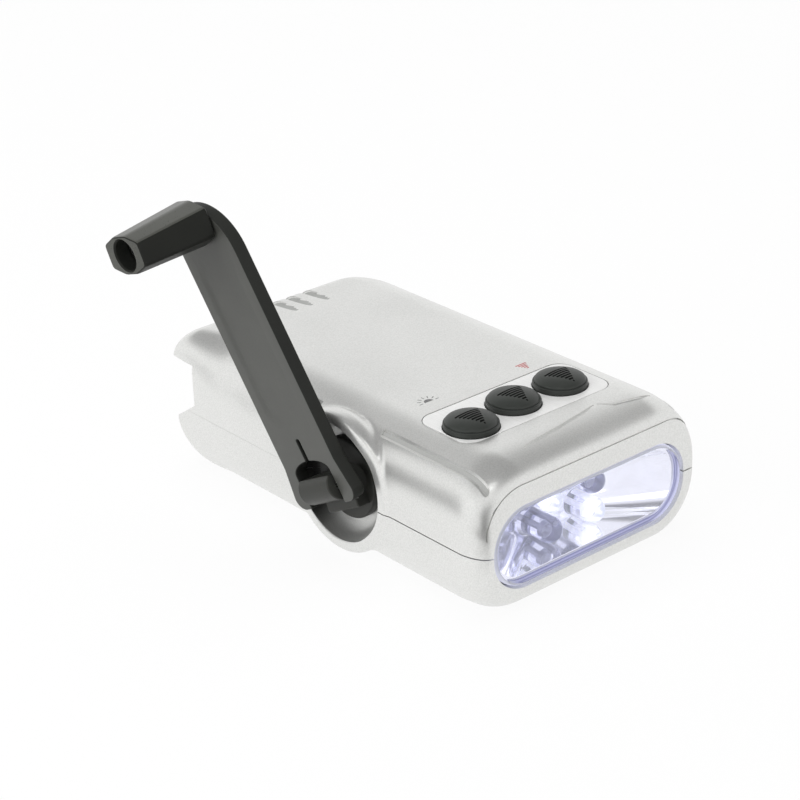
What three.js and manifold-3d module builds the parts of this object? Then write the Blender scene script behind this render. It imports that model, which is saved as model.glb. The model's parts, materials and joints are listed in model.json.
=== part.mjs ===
// Hand crank flashlight: a flat two-shell case with a wide lens in front, three rubber keys on
// top, and a fold-out crank on one side that drives a geared dynamo.
// Millimetres, +Z up. The lens faces -Y, the crank is on the -X side, and the origin is the
// centre of the flat underside.

import * as THREE from 'three';
import { mergeVertices } from 'three/addons/utils/BufferGeometryUtils.js';
import Module from 'manifold-3d';

const wasm = await Module();
wasm.setup();

// Case: overall sizes and edge shapes
const bodyWidth = 54;
const bodyLength = 90.4;
const bodyHeight = 28.8;
const seamHeight = 12.8;
const wall = 1.8;
const lowerEdgeRadius = 7.5;
const frontLowerRadius = 9.5;
const frontCornerWidth = 3.5;
const frontCornerLength = 6;
const plainCornerWidth = 0.9;
const plainCornerLength = 2.4;
const frontTopDrop = 4.2;
const frontTopLength = 8.5;
const frontBottomRise = 4;
const frontBottomLength = 4.5;
const rearCornerRadius = 9;
const crankCornerRadius = 0.6;
const shoulderRadius = 10.5;
const crankRearDrop = 5.5;
const crankRearEdge = 4;
const crankRearLength = 15;
const rearTopRadius = 3.8;
const rearBottomRise = 8;
const rearBottomLength = 12;
const seamGap = 0.3;
const lipHeight = 1.2;
const lipThickness = 0.8;
const lipClearance = 0.2;

// Clearances shared by many pieces
const restGap = 0.3;
const runGap = 0.1;
const seatGap = 0.05;
const overrun = 1;

// Lens window in the front face
const lensWidth = 47.3;
const lensHeight = 16;
const lensCorner = 7.75;
const lensPlate = 2;
const lensSkirtWall = 0.8;
const lensSkirtDepth = 4.6;
const lensFlange = 0.45;
const lensFlangeThickness = 1;
const lensDrop = 0.2;
const lensCentreHeight = seamHeight - lensDrop;
const lensGap = 0.25;
const bezelBand = 4.15;
const bezelSideBand = 2.35;
const bezelOffset = 1.1;
const bezelCorner = 8.6;
const bezelGroove = 0.5;
const bezelGrooveDepth = 0.7;

// Light unit behind the lens
const reflectorWall = 0.6;
const reflectorRearWidth = 18;
const ledRadius = 2.5;
const ledLength = 8.6;
const ledRimRadius = 2.9;
const ledRimThickness = 0.8;
const ledSpacingX = 10.8;
const ledSpacingZ = 6.1;
const ledTipDepth = 4;
const boardThickness = 1.2;
const ledBoardWidth = 22;
const ledBoardHeight = 13.4;

// Crank hub and its round housing on the side
const hubFromFront = 38.8;
const hubHeight = 14.7;
const housingRadius = 14;
const housingProud = 0.8;
const housingTaper = 1.4;
const housingReach = 10.5;
const recessRadius = 11.65;
const recessFloorRadius = 8.3;
const discRadius = 8;
const discThickness = 1.6;
const discDepth = 2.6;
const shaftRadius = 2;
const bushRadius = 4;
const bushFlangeRadius = 5.4;
const bushFlange = 0.6;
const tongueWidth = 10;
const tongueRadius = 3;
const tongueTop = 2.2;
const neckDrop = 5.4;

// Crank arm, folded out beside the case, and its hand knob
const hingeOffset = 4.77;
const armSpin = 27.4;
const armLean = 7.14;
const armWidth = 16.9;
const armFootWidth = 19.4;
const armFlareTop = 5.2;
const armThickness = 2.7;
const armReach = 53.8;
const armTopOverhang = 3.4;
const armTopFrontRadius = 11;
const armTopRearRadius = 4;
const armTail = 3.4;
const armTailRadius = 2.4;
const keyholeWidth = 11.2;
const keyholeTop = 5.7;
const flexSlotWidth = 0.9;
const flexSlotTop = 10.2;
const earRadius = 3.4;
const armChannelWidth = 10.6;
const armChannelDepth = 0.5;
const hingePinRadius = 1;
const knobLength = 15.5;
const knobRootWidth = 12.2;
const knobRootHeight = 8.8;
const knobEndWidth = 11;
const knobEndHeight = 7.3;
const knobRoll = 9.75;
const knobBore = 2.1;
const knobMouthRadius = 2.95;
const knobMouthDepth = 5.2;
const knobScrewHeadRadius = 2.6;
const knobScrewHead = 1.6;

// Pocket in the rear corner for the stowed knob
const notchDepth = 6.4;
const notchInset = 14;
const notchInnerLow = 14.6;
const notchInnerHigh = 23.2;
const notchRearLow = 10.3;
const notchRearHigh = 23.7;

// Key panel and keys on the top face
const panelWidth = 36.3;
const panelLength = 14.5;
const panelFromFront = 11.75;
const panelCorner = 3.2;
const panelOffset = -0.5;
const panelThickness = 0.8;
const keyRadius = 5.15;
const keyRise = 2.4;
const keyRimRise = 1.2;
const keyFlangeRadius = 5.7;
const keyFlange = 0.8;
const keyStemRadius = 1.8;
const keyTravel = 0.8;
const keyGap = 0.15;
const keySpacing = 11.8;
const keyCentreX = -1.4;
const keyFromFront = 18.85;
const firstKeyForward = 1.6;

// Circuit board and snap domes under the keys
const boardSideGap = 0.9;
const boardFromFront = 7.4;
const boardLength = 18.2;
const boardDrop = 6.8;
const domeRadius = 3;
const domeRise = 0.5;
const boardScrewInset = 2.2;

// Gear train and dynamo
const gearModule = 0.5;
const mainTeeth = 42;
const idlerTeeth = 36;
const pinionTeeth = 10;
const centreSlack = 0.08;
const wheelAddendum = 0.3;
const pinionAddendum = 0.5;
const toothDepth = 0.65;
const pressureAngle = THREE.MathUtils.degToRad(20);
const gearBacklash = 0.1;
const gearThickness = 2;
const pinionLength = 3.2;
const axleRadius = 0.75;
const plateThickness = 1.2;
const outerPlateX = 19.4;
const innerPlateX = 10.4;
const plateFrontReach = 11.6;
const plateRearReach = 6.2;
const plateFoot = 3;
const plateDrop = 3.4;
const pillarRadius = 1.5;
const magnetRadius = 4.5;
const magnetLength = 6.6;
const poleGap = 0.5;
const coreThickness = 5;
const coreArm = 3.5;
const coreHeight = 19;
const coreWindow = 4.4;
const bobbinWall = 0.5;
const windingDepth = 2.4;

// Battery, alarm and case screws
const cellRadius = 5.8;
const cellLength = 5.3;
const cellCount = 3;
const cellX = 13;
const cellHeight = 8.3;
const cellFromFront = 33;
const contactThickness = 0.4;
const buzzerRadius = 6;
const buzzerHeight = 4.4;
const buzzerX = 8;
const buzzerFromRear = 9.8;
const screwRadius = 1;
const screwHeadRadius = 1.9;
const screwHeadHeight = 1.4;
const screwLength = 13;
const screwSinkDepth = 3;
const screwPostRadius = 2.6;
const frontPostX = 20.7;
const frontPostFromFront = 17.2;
const rearPostCrankX = -7.6;
const rearPostX = 18.4;
const rearPostCrankFromRear = 5;
const rearPostCrankRaise = 1.6;
const rearPostFromRear = 10.4;

// Places worked out from the sizes
const halfWidth = bodyWidth / 2;
const frontY = -bodyLength / 2;
const rearY = bodyLength / 2;
const hubY = frontY + hubFromFront;
const innerTop = bodyHeight - wall;
const boardHeight = bodyHeight - boardDrop;
const plateTop = bodyHeight - plateDrop;
const boardWidth = 2 * (frontPostX - screwPostRadius - boardSideGap);
const discFaceX = -halfWidth - housingProud + discDepth;
const discBackX = discFaceX + discThickness;
const recessFloorX = discBackX + restGap;
const cupBackX = recessFloorX + wall;
const hingeX = discFaceX - hingeOffset;
const upperSeam = seamHeight + seamGap / 2;
const lowerSeam = seamHeight - seamGap / 2;

// Plain helpers for solids

function closedGeometry(geometry) {
  const plain = new THREE.BufferGeometry();
  plain.setAttribute('position', geometry.getAttribute('position').clone());
  if (geometry.index) plain.setIndex(geometry.index.clone());
  return mergeVertices(plain, 1e-5);
}

function toSolid(geometry) {
  const merged = closedGeometry(geometry);
  const vertProperties = new Float32Array(merged.getAttribute('position').array);
  const triVerts = new Uint32Array(merged.index.array);
  const mesh = new wasm.Mesh({ numProp: 3, vertProperties, triVerts });
  mesh.merge();
  return new wasm.Manifold(mesh);
}

function toGeometry(solid) {
  const mesh = solid.getMesh();
  const geometry = new THREE.BufferGeometry();
  geometry.setAttribute('position', new THREE.BufferAttribute(new Float32Array(mesh.vertProperties), 3));
  geometry.setIndex(new THREE.BufferAttribute(new Uint32Array(mesh.triVerts), 1));
  geometry.computeVertexNormals();
  return geometry;
}

function join(first, ...others) {
  return others.reduce((sum, other) => sum.add(other), first);
}

function cut(first, ...others) {
  return others.reduce((rest, other) => rest.subtract(other), first);
}

function block(lowX, highX, lowY, highY, lowZ, highZ) {
  const box = new THREE.BoxGeometry(highX - lowX, highY - lowY, highZ - lowZ);
  box.translate((lowX + highX) / 2, (lowY + highY) / 2, (lowZ + highZ) / 2);
  return toSolid(box);
}

// Extrudes a flat shape and lays it across the X, Y or Z direction between two planes
function prism(shape, axis, low, high) {
  const geometry = new THREE.ExtrudeGeometry(shape, { depth: high - low, bevelEnabled: false, curveSegments: 4 });
  geometry.translate(0, 0, low);
  if (axis === 'x') {
    geometry.applyMatrix4(new THREE.Matrix4().set(0, 0, 1, 0, 1, 0, 0, 0, 0, 1, 0, 0, 0, 0, 0, 1));
  }
  if (axis === 'y') {
    geometry.applyMatrix4(new THREE.Matrix4().set(0, 1, 0, 0, 0, 0, 1, 0, 1, 0, 0, 0, 0, 0, 0, 1));
  }
  return toSolid(geometry);
}

// Turns a profile of [radius, place along the axis] pairs round the X, Y or Z direction
function turned(profile, axis, segments) {
  const points = profile.map(([radius, along]) => new THREE.Vector2(radius, along));
  const geometry = new THREE.LatheGeometry(points, segments);
  if (axis === 'x') geometry.rotateZ(-Math.PI / 2);
  if (axis === 'z') geometry.rotateX(Math.PI / 2);
  const solid = toSolid(geometry);
  return solid.volume() < 0 ? toSolid(flipped(geometry)) : solid;
}

function flipped(geometry) {
  const merged = closedGeometry(geometry);
  const index = merged.index.array;
  for (let i = 0; i < index.length; i += 3) {
    [index[i], index[i + 1]] = [index[i + 1], index[i]];
  }
  return merged;
}

function rod(radius, axis, low, high, segments = 24) {
  const profile = [[0, low], [radius, low], [radius, high], [0, high]];
  return turned(profile, axis, segments);
}

function moved(solid, x, y, z) {
  return solid.translate([x, y, z]);
}

function roundedShape(width, height, corner, centreX = 0, centreY = 0) {
  const shape = new THREE.Shape();
  const x = width / 2;
  const y = height / 2;
  shape.moveTo(centreX - x + corner, centreY - y);
  shape.lineTo(centreX + x - corner, centreY - y);
  shape.absarc(centreX + x - corner, centreY - y + corner, corner, -Math.PI / 2, 0, false);
  shape.absarc(centreX + x - corner, centreY + y - corner, corner, 0, Math.PI / 2, false);
  shape.absarc(centreX - x + corner, centreY + y - corner, corner, Math.PI / 2, Math.PI, false);
  shape.absarc(centreX - x + corner, centreY - y + corner, corner, Math.PI, Math.PI * 1.5, false);
  return shape;
}

// Closes a stack of rings, each with the same number of points, into one solid
function loft(rings) {
  const count = rings[0].length;
  const position = rings.flat().flatMap((point) => [point.x, point.y, point.z]);
  const index = [];
  for (let r = 0; r + 1 < rings.length; r += 1) {
    for (let i = 0; i < count; i += 1) {
      const a = r * count + i;
      const b = r * count + (i + 1) % count;
      index.push(a, b, b + count, a, b + count, a + count);
    }
  }
  const last = (rings.length - 1) * count;
  for (let i = 1; i + 1 < count; i += 1) {
    index.push(0, i + 1, i, last, last + i, last + i + 1);
  }
  const geometry = new THREE.BufferGeometry();
  geometry.setAttribute('position', new THREE.Float32BufferAttribute(position, 3));
  geometry.setIndex(index);
  const solid = toSolid(geometry);
  return solid.volume() < 0 ? toSolid(flipped(geometry)) : solid;
}

// Case form: rounded cross-sections along Y that draw in towards both ends

const cornerShare = 0.96;

function edgeInset(depth, rise, length) {
  if (depth >= length) return 0;
  return rise * (1 - Math.sqrt(1 - (1 - depth / length) ** 2));
}

// One side of a cross-section, with its radii drawn down where they wouldn't fit the height
function fittedSide(half, lowRadius, highRadius, height) {
  const fit = Math.min(1, cornerShare * height / (lowRadius + highRadius));
  return { half, lowR: lowRadius * fit, highR: highRadius * fit };
}

function sectionRing(y, crank, plain, low, high, steps) {
  const corners = [
    [plain.half - plain.lowR, low + plain.lowR, plain.lowR],
    [plain.half - plain.highR, high - plain.highR, plain.highR],
    [-crank.half + crank.highR, high - crank.highR, crank.highR],
    [-crank.half + crank.lowR, low + crank.lowR, crank.lowR],
  ];
  const ring = [];
  corners.forEach(([x, z, radius], corner) => {
    for (let i = 0; i <= steps; i += 1) {
      const angle = Math.PI / 2 * (corner - 1 + i / steps);
      ring.push(new THREE.Vector3(x + radius * Math.cos(angle), y, z + radius * Math.sin(angle)));
    }
  });
  return ring;
}

function caseForm(inset, steps, frontSteps, rearSteps) {
  const low = frontY + inset;
  const high = rearY - inset;
  const frontReach = frontTopLength + wall - inset;
  const rearReach = rearBottomLength + wall - inset;
  const places = [];
  for (let i = 0; i <= frontSteps; i += 1) {
    places.push(low + frontReach * (1 - Math.cos(Math.PI / 2 * i / frontSteps)));
  }
  for (let i = rearSteps; i >= 0; i -= 1) {
    places.push(high - rearReach * (1 - Math.cos(Math.PI / 2 * i / rearSteps)));
  }
  const rings = places.map((y) => {
    const front = y - low;
    const rear = high - y;
    const crankHalf = halfWidth - inset - edgeInset(front, frontCornerWidth - inset, frontCornerLength - inset);
    const plainHalf = halfWidth - inset - edgeInset(front, Math.max(0, plainCornerWidth - inset),
      Math.max(restGap, plainCornerLength - inset));
    const plainRound = edgeInset(rear, rearCornerRadius - inset, rearCornerRadius - inset);
    const crankRound = edgeInset(rear, crankCornerRadius - inset, crankCornerRadius - inset);
    const topDrop = edgeInset(front, frontTopDrop - inset, frontTopLength - inset)
      + edgeInset(rear, rearTopRadius - inset, rearTopRadius - inset);
    const top = bodyHeight - inset - topDrop;
    const bottom = inset + edgeInset(front, frontBottomRise - inset, frontBottomLength - inset)
      + edgeInset(rear, rearBottomRise - inset, rearBottomLength - inset);
    const frontShare = Math.max(0, 1 - front / frontTopLength);
    const lowRadius = lowerEdgeRadius + (frontLowerRadius - lowerEdgeRadius) * frontShare - inset;
    const rearShare = THREE.MathUtils.smoothstep(crankRearLength - rear, 0, crankRearLength);
    const crankLow = lowRadius + (crankRearEdge - lowerEdgeRadius) * rearShare;
    const highRadius = shoulderRadius - inset;
    const crankDrop = THREE.MathUtils.lerp(shoulderRadius, crankRearDrop, rearShare) - inset;
    const crankHigh = Math.min(highRadius, Math.max(restGap, crankDrop
      - edgeInset(rear, rearTopRadius - inset, rearTopRadius - inset)));
    return sectionRing(y, fittedSide(crankHalf - crankRound, crankLow, crankHigh, top - bottom),
      fittedSide(plainHalf - plainRound, lowRadius, highRadius, top - bottom), bottom, top, steps);
  });
  return loft(rings);
}

const outerForm = caseForm(0, 8, 6, 7);
const innerForm = caseForm(wall, 5, 4, 5);
const lipOuterForm = caseForm(wall - lipThickness, 5, 4, 5);
const lensRoom = caseForm(wall + seatGap, 5, 4, 5);
const rebateForm = caseForm(wall - lipThickness - lipClearance, 5, 4, 5);

// Cuts and added masses that both shells share

function atHub(solid) {
  return moved(solid, 0, hubY, hubHeight);
}

const roundSegments = 40;
const housingX = -halfWidth - housingProud;
const housingEdge = housingRadius - recessRadius;
const housing = atHub(turned([
  [0, housingX], [housingRadius - housingEdge / 2, housingX],
  [housingRadius, housingX + housingEdge / 2], [housingRadius, cupBackX], [0, cupBackX],
], 'x', roundSegments));

// The round housing runs on inwards as a tapering swell outside the cavity
const housingSkirt = cut(atHub(turned([
  [0, housingX + housingEdge], [housingRadius, housingX + housingEdge],
  [housingRadius, cupBackX - overrun],
  [housingRadius - housingTaper / 3, (cupBackX - overrun + housingX + housingReach) / 2],
  [housingRadius - housingTaper, housingX + housingReach], [0, housingX + housingReach],
], 'x', roundSegments)), innerForm);

function recessProfile() {
  const steps = 6;
  const deep = recessFloorX - housingX;
  const profile = [[0, housingX - overrun], [recessRadius, housingX - overrun], [recessRadius, housingX]];
  for (let i = 1; i <= steps; i += 1) {
    const angle = Math.PI / 2 * i / steps;
    const radius = recessFloorRadius + (recessRadius - recessFloorRadius) * Math.cos(angle);
    profile.push([radius, housingX + deep * Math.sin(angle)]);
  }
  profile.push([0, recessFloorX]);
  return profile;
}

const hubRecess = atHub(turned(recessProfile(), 'x', roundSegments));
const bushBore = atHub(rod(bushRadius + runGap, 'x', recessFloorX - overrun, cupBackX + overrun));

function notchShape(grow) {
  const inner = rearY - notchDepth - grow;
  const outer = rearY + overrun;
  const lowSlope = (notchRearLow - notchInnerLow) / notchDepth;
  const highSlope = (notchRearHigh - notchInnerHigh) / notchDepth;
  const shape = new THREE.Shape();
  shape.moveTo(inner, notchInnerLow - grow);
  shape.lineTo(outer, notchRearLow - grow + lowSlope * overrun);
  shape.lineTo(outer, notchRearHigh + grow + highSlope * overrun);
  shape.lineTo(inner, notchInnerHigh + grow);
  return shape;
}

const notchEndX = -halfWidth + notchInset;
const notchCut = prism(notchShape(0), 'x', -halfWidth - overrun, notchEndX);
const notchWalls = prism(notchShape(wall), 'x', -halfWidth, notchEndX + wall).intersect(outerForm);

const windowCut = prism(
  roundedShape(lensHeight + 2 * lensGap, lensWidth + 2 * lensGap, lensCorner, lensCentreHeight),
  'y', frontY - overrun, frontY + wall + overrun);

function bezelRing() {
  const bezelHeight = lensHeight + 2 * bezelBand;
  const bezelWidth = lensWidth + 2 * bezelSideBand;
  const outer = roundedShape(bezelHeight + 2 * bezelGroove, bezelWidth + 2 * bezelGroove,
    bezelCorner + bezelGroove, lensCentreHeight, bezelOffset);
  const inner = roundedShape(bezelHeight, bezelWidth, bezelCorner, lensCentreHeight, bezelOffset);
  const deep = frontY + bezelGrooveDepth;
  const ring = cut(prism(outer, 'y', frontY - overrun, deep), prism(inner, 'y', frontY - overrun, deep));
  return ring.intersect(block(-halfWidth, halfWidth, frontY - overrun, rearY, lensCentreHeight + lensHeight / 4,
    bodyHeight));
}

const casePosts = [
  [-frontPostX, frontY + frontPostFromFront, 0],
  [frontPostX, frontY + frontPostFromFront, 0],
  [rearPostCrankX, rearY - rearPostCrankFromRear, rearPostCrankRaise],
  [rearPostX, rearY - rearPostFromRear, 0],
];

const postMass = casePosts.map(([x, y]) => moved(rod(screwPostRadius, 'z', wall / 2, bodyHeight, 20), x, y, 0)
  .intersect(outerForm));
const sinkCuts = casePosts.map(([x, y, raise]) => moved(
  rod(screwHeadRadius + restGap, 'z', -overrun - raise, screwSinkDepth, 20), x, y, raise));
const screwCuts = casePosts.map(([x, y, raise]) => moved(
  rod(screwRadius + runGap, 'z', 0, screwSinkDepth + screwLength + restGap, 12), x, y, raise));

// Key places on the top face and the panel round them
const keyPlaces = [-1, 0, 1].map((step) => [
  keyCentreX + step * keySpacing,
  frontY + keyFromFront - (step < 0 ? firstKeyForward : 0),
]);
const panelY = frontY + panelFromFront + panelLength / 2;
const panelSeat = prism(roundedShape(panelWidth + 2 * keyGap, panelLength + 2 * keyGap, panelCorner + keyGap,
  panelOffset, panelY), 'z', bodyHeight - panelThickness - seatGap, bodyHeight + overrun);
const keyHoles = keyPlaces.map(([x, y]) => moved(
  rod(keyRadius + keyGap, 'z', innerTop - overrun, bodyHeight + overrun, 28), x, y, 0));

const keyRooms = keyPlaces.map(([x, y]) => moved(
  rod(keyFlangeRadius + keyGap, 'z', innerTop - keyFlange - keyTravel - keyGap, innerTop, 28), x, y, 0));

// Fingers of the upper shell: board posts, alarm ring and gearbox ribs
const boardY = frontY + boardFromFront + boardLength / 2;
const boardTop = boardHeight + boardThickness;
const boardPosts = [-1, 1].map((side) => [
  side * (boardWidth / 2 - boardScrewInset),
  boardY - boardLength / 2 + boardScrewInset,
]);
const boardPostMass = boardPosts.map(([x, y]) => moved(
  rod(screwHeadRadius, 'z', boardTop + seatGap, innerTop + wall / 2, 16), x, y, 0));
const boardPilots = boardPosts.map(([x, y]) => moved(
  rod(screwRadius + runGap, 'z', boardHeight - overrun, innerTop, 12), x, y, 0));
const buzzerY = rearY - buzzerFromRear;
const buzzerTop = innerTop - overrun;
const buzzerSeat = cut(
  moved(rod(buzzerRadius + runGap + overrun, 'z', buzzerTop - buzzerHeight / 2, innerTop + wall / 2, 28),
    buzzerX, buzzerY, 0),
  moved(rod(buzzerRadius + runGap, 'z', 0, buzzerTop + seatGap, 28), buzzerX, buzzerY, 0));

// Gear places
const mainPitch = gearModule * mainTeeth / 2;
const idlerPitch = gearModule * idlerTeeth / 2;
const pinionPitch = gearModule * pinionTeeth / 2;
const idlerY = hubY + mainPitch + pinionPitch + centreSlack;
const rotorY = idlerY + idlerPitch + pinionPitch + centreSlack;
const plateFrontY = hubY - plateFrontReach;
const plateRearY = rotorY + plateRearReach;
const ribWidth = wall;
const ribPlaces = [plateFrontY + 2 * ribWidth, plateRearY - 2 * ribWidth];

function gearboxRibs(lowZ, highZ) {
  return ribPlaces.map((y) => block(-outerPlateX - plateThickness, -innerPlateX, y - ribWidth / 2,
    y + ribWidth / 2, lowZ, highZ));
}

// Battery cradle on the floor
const cellY = frontY + cellFromFront;
const packLength = cellCount * cellLength + (cellCount - 1) * runGap;
const cradleEnds = [cellY, cellY + packLength];
const cellTrough = cut(
  block(cellX - cellRadius, cellX + cellRadius, cellY, cellY + packLength, wall / 2, cellHeight - cellRadius / 2),
  moved(rod(cellRadius + runGap, 'y', cellY - overrun, cellY + packLength + overrun, 32), cellX, 0, cellHeight));
const contactGap = contactThickness + runGap;
const cradleWalls = [
  block(cellX - cellRadius, cellX + cellRadius, cradleEnds[0] - contactGap - wall, cradleEnds[0] - contactGap - runGap,
    wall / 2, cellHeight),
  block(cellX - cellRadius, cellX + cellRadius, cradleEnds[1] + contactGap + runGap, cradleEnds[1] + contactGap + wall,
    wall / 2, cellHeight),
];

// The two shells

const caseSolid = cut(
  join(cut(outerForm, innerForm), housing, housingSkirt, notchWalls, ...postMass),
  hubRecess, bushBore, notchCut, windowCut, ...screwCuts);
const underside = block(-bodyWidth, bodyWidth, -bodyLength, bodyLength, -bodyHeight, lowerSeam);
const upside = block(-bodyWidth, bodyWidth, -bodyLength, bodyLength, upperSeam, 2 * bodyHeight);
const lipBand = block(-bodyWidth, bodyWidth, -bodyLength, bodyLength, lowerSeam - lipHeight, seamHeight + lipHeight);
const lip = cut(lipOuterForm, innerForm).intersect(lipBand);
const rebateBand = block(-bodyWidth, bodyWidth, -bodyLength, bodyLength, seamHeight,
  seamHeight + lipHeight + lipClearance);
const rebate = cut(rebateForm, innerForm).intersect(rebateBand);
const postClear = casePosts.map(([x, y]) => moved(
  rod(screwPostRadius + restGap, 'z', lowerSeam, bodyHeight, 20), x, y, 0));
const housingClear = atHub(rod(housingRadius + restGap, 'x', -bodyWidth, cupBackX + restGap, roundSegments));
const notchClear = prism(notchShape(wall + restGap), 'x', -bodyWidth, notchEndX + wall + restGap);

const lowerShell = cut(
  join(
    cut(caseSolid, ...sinkCuts).intersect(underside),
    cut(lip, windowCut, notchClear, housingClear, ...postClear),
    ...gearboxRibs(wall / 2, plateFoot - seatGap), cellTrough, ...cradleWalls),
  ...screwCuts);
const upperShell = cut(
  join(cut(caseSolid.intersect(upside), cut(rebate, notchWalls, housing, ...postMass)),
    ...boardPostMass, buzzerSeat,
    ...gearboxRibs(plateTop + seatGap, innerTop + wall / 2)),
  panelSeat, bezelRing(), ...keyHoles, ...keyRooms, ...boardPilots);

// Lens and light unit

function lensShape(inset) {
  return roundedShape(lensHeight - 2 * inset, lensWidth - 2 * inset, lensCorner - inset, lensCentreHeight);
}

const lensFront = frontY + seatGap;
const lensBack = lensFront + lensPlate;
const frontLens = cut(
  join(prism(lensShape(0), 'y', lensFront, lensBack + lensSkirtDepth),
    prism(lensShape(-lensFlange), 'y', frontY + wall + runGap, frontY + wall + runGap + lensFlangeThickness)
      .intersect(lensRoom)),
  prism(lensShape(lensSkirtWall), 'y', lensBack, lensBack + lensSkirtDepth + overrun));

function hornRing(y, width, height, corner) {
  const shape = roundedShape(width, height, corner, 0, lensCentreHeight);
  return shape.getPoints(4).slice(0, -1).map((point) => new THREE.Vector3(point.x, y, point.y));
}

const ledTip = frontY + ledTipDepth;
const ledBase = ledTip + ledLength;
const hornFront = lensBack + runGap;
const hornBack = ledBase - ledRimThickness - seatGap - reflectorWall;
const reflectorRearHeight = ledSpacingZ + 2 * (ledRadius + restGap);
const hornWidth = lensWidth - 2 * (lensSkirtWall + restGap);
const hornHeight = lensHeight - 2 * (lensSkirtWall + restGap);
const reflectorRearCorner = 3;

function horn(grow, front, back) {
  return loft([
    hornRing(front, hornWidth - 2 * reflectorWall + 2 * grow, hornHeight - 2 * reflectorWall + 2 * grow,
      lensCorner - lensSkirtWall - restGap - reflectorWall + grow),
    hornRing(back, reflectorRearWidth + 2 * grow, reflectorRearHeight + 2 * grow, reflectorRearCorner + grow),
  ]);
}

const ledPlaces = [];
for (const sideX of [-1, 1]) {
  for (const sideZ of [-1, 1]) {
    ledPlaces.push([sideX * ledSpacingX / 2, lensCentreHeight + sideZ * ledSpacingZ / 2]);
  }
}
const reflectorBack = hornBack + reflectorWall;
const reflectorMass = join(horn(reflectorWall, hornFront, hornBack),
  prism(roundedShape(reflectorRearHeight + 2 * reflectorWall, reflectorRearWidth + 2 * reflectorWall,
    reflectorRearCorner + reflectorWall, lensCentreHeight), 'y', hornBack - reflectorWall, reflectorBack));
const reflector = cut(reflectorMass, horn(0, hornFront - seatGap, hornBack),
  ...ledPlaces.map(([x, z]) => moved(rod(ledRadius + runGap, 'y', hornBack - overrun, reflectorBack + overrun),
    x, 0, z)));

function ledProfile() {
  const profile = [[0, ledTip]];
  const steps = 4;
  for (let i = 1; i <= steps; i += 1) {
    const angle = Math.PI / 2 * i / steps;
    profile.push([ledRadius * Math.sin(angle), ledTip + ledRadius * (1 - Math.cos(angle))]);
  }
  profile.push([ledRadius, ledBase - ledRimThickness], [ledRimRadius, ledBase - ledRimThickness],
    [ledRimRadius, ledBase], [0, ledBase]);
  return profile;
}
const ledBoardFront = ledBase + seatGap;
const ledBoard = block(-ledBoardWidth / 2, ledBoardWidth / 2, ledBoardFront, ledBoardFront + boardThickness,
  lensCentreHeight - ledBoardHeight / 2, lensCentreHeight + ledBoardHeight / 2);

// Keys, panel, board and domes

const keyPanel = cut(
  prism(roundedShape(panelWidth, panelLength, panelCorner, panelOffset, panelY), 'z',
    bodyHeight - panelThickness, bodyHeight),
  ...keyHoles);

function keySolid() {
  const rim = bodyHeight + keyRimRise;
  const crown = bodyHeight + keyRise;
  const flangeTop = innerTop - seatGap;
  const stemEnd = boardTop + domeRise + keyTravel + runGap;
  const steps = 4;
  const profile = [[0, stemEnd], [keyStemRadius, stemEnd], [keyStemRadius, flangeTop - keyFlange],
    [keyFlangeRadius, flangeTop - keyFlange], [keyFlangeRadius, flangeTop], [keyRadius, flangeTop]];
  for (let i = 0; i <= steps; i += 1) {
    const angle = Math.PI / 2 * i / steps;
    profile.push([keyRadius * Math.cos(angle), rim + (crown - rim) * Math.sin(angle)]);
  }
  return turned(profile, 'z', 24);
}

function domeSolid() {
  const low = boardTop + seatGap;
  const high = boardTop + domeRise;
  return turned([[0, low], [domeRadius, low], [domeRadius / 2, high], [0, high]], 'z', 16);
}

const mainBoard = cut(
  block(-boardWidth / 2, boardWidth / 2, boardY - boardLength / 2, boardY + boardLength / 2, boardHeight, boardTop),
  ...boardPilots);

function screwSolid(headRadius, headHeight, radius, length) {
  return turned([[0, 0], [headRadius, 0], [headRadius, headHeight], [radius, headHeight],
    [radius, headHeight + length], [0, headHeight + length]], 'z', 16);
}

// Crank hub: disc, neck, hinge tongue and shaft in one piece, bush and clip

const neckTopX = hingeX + armThickness / 2 + 2 * restGap;

function tongueShape() {
  const shape = new THREE.Shape();
  const reach = Math.sqrt(tongueRadius ** 2 - tongueTop ** 2);
  const start = Math.atan2(tongueTop, -reach);
  shape.moveTo(discFaceX + overrun / 2, tongueTop);
  shape.lineTo(hingeX - reach, tongueTop);
  const steps = 8;
  const end = Math.PI * 1.5;
  for (let i = 1; i <= steps; i += 1) {
    const angle = start + (end - start) * i / steps;
    shape.lineTo(hingeX + tongueRadius * Math.cos(angle), tongueRadius * Math.sin(angle));
  }
  shape.lineTo(neckTopX, -tongueRadius);
  shape.lineTo(neckTopX, -neckDrop + restGap);
  shape.lineTo(neckTopX + restGap, -neckDrop);
  shape.lineTo(discFaceX + overrun / 2, -neckDrop);
  return shape;
}

// A shape drawn in X and Z, laid between two Y planes
function prismAcross(shape, low, high) {
  const geometry = new THREE.ExtrudeGeometry(shape, { depth: high - low, bevelEnabled: false, curveSegments: 8 });
  geometry.translate(0, 0, low);
  geometry.applyMatrix4(new THREE.Matrix4().set(1, 0, 0, 0, 0, 0, 1, 0, 0, 1, 0, 0, 0, 0, 0, 1));
  return toSolid(flipped(geometry));
}

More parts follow.
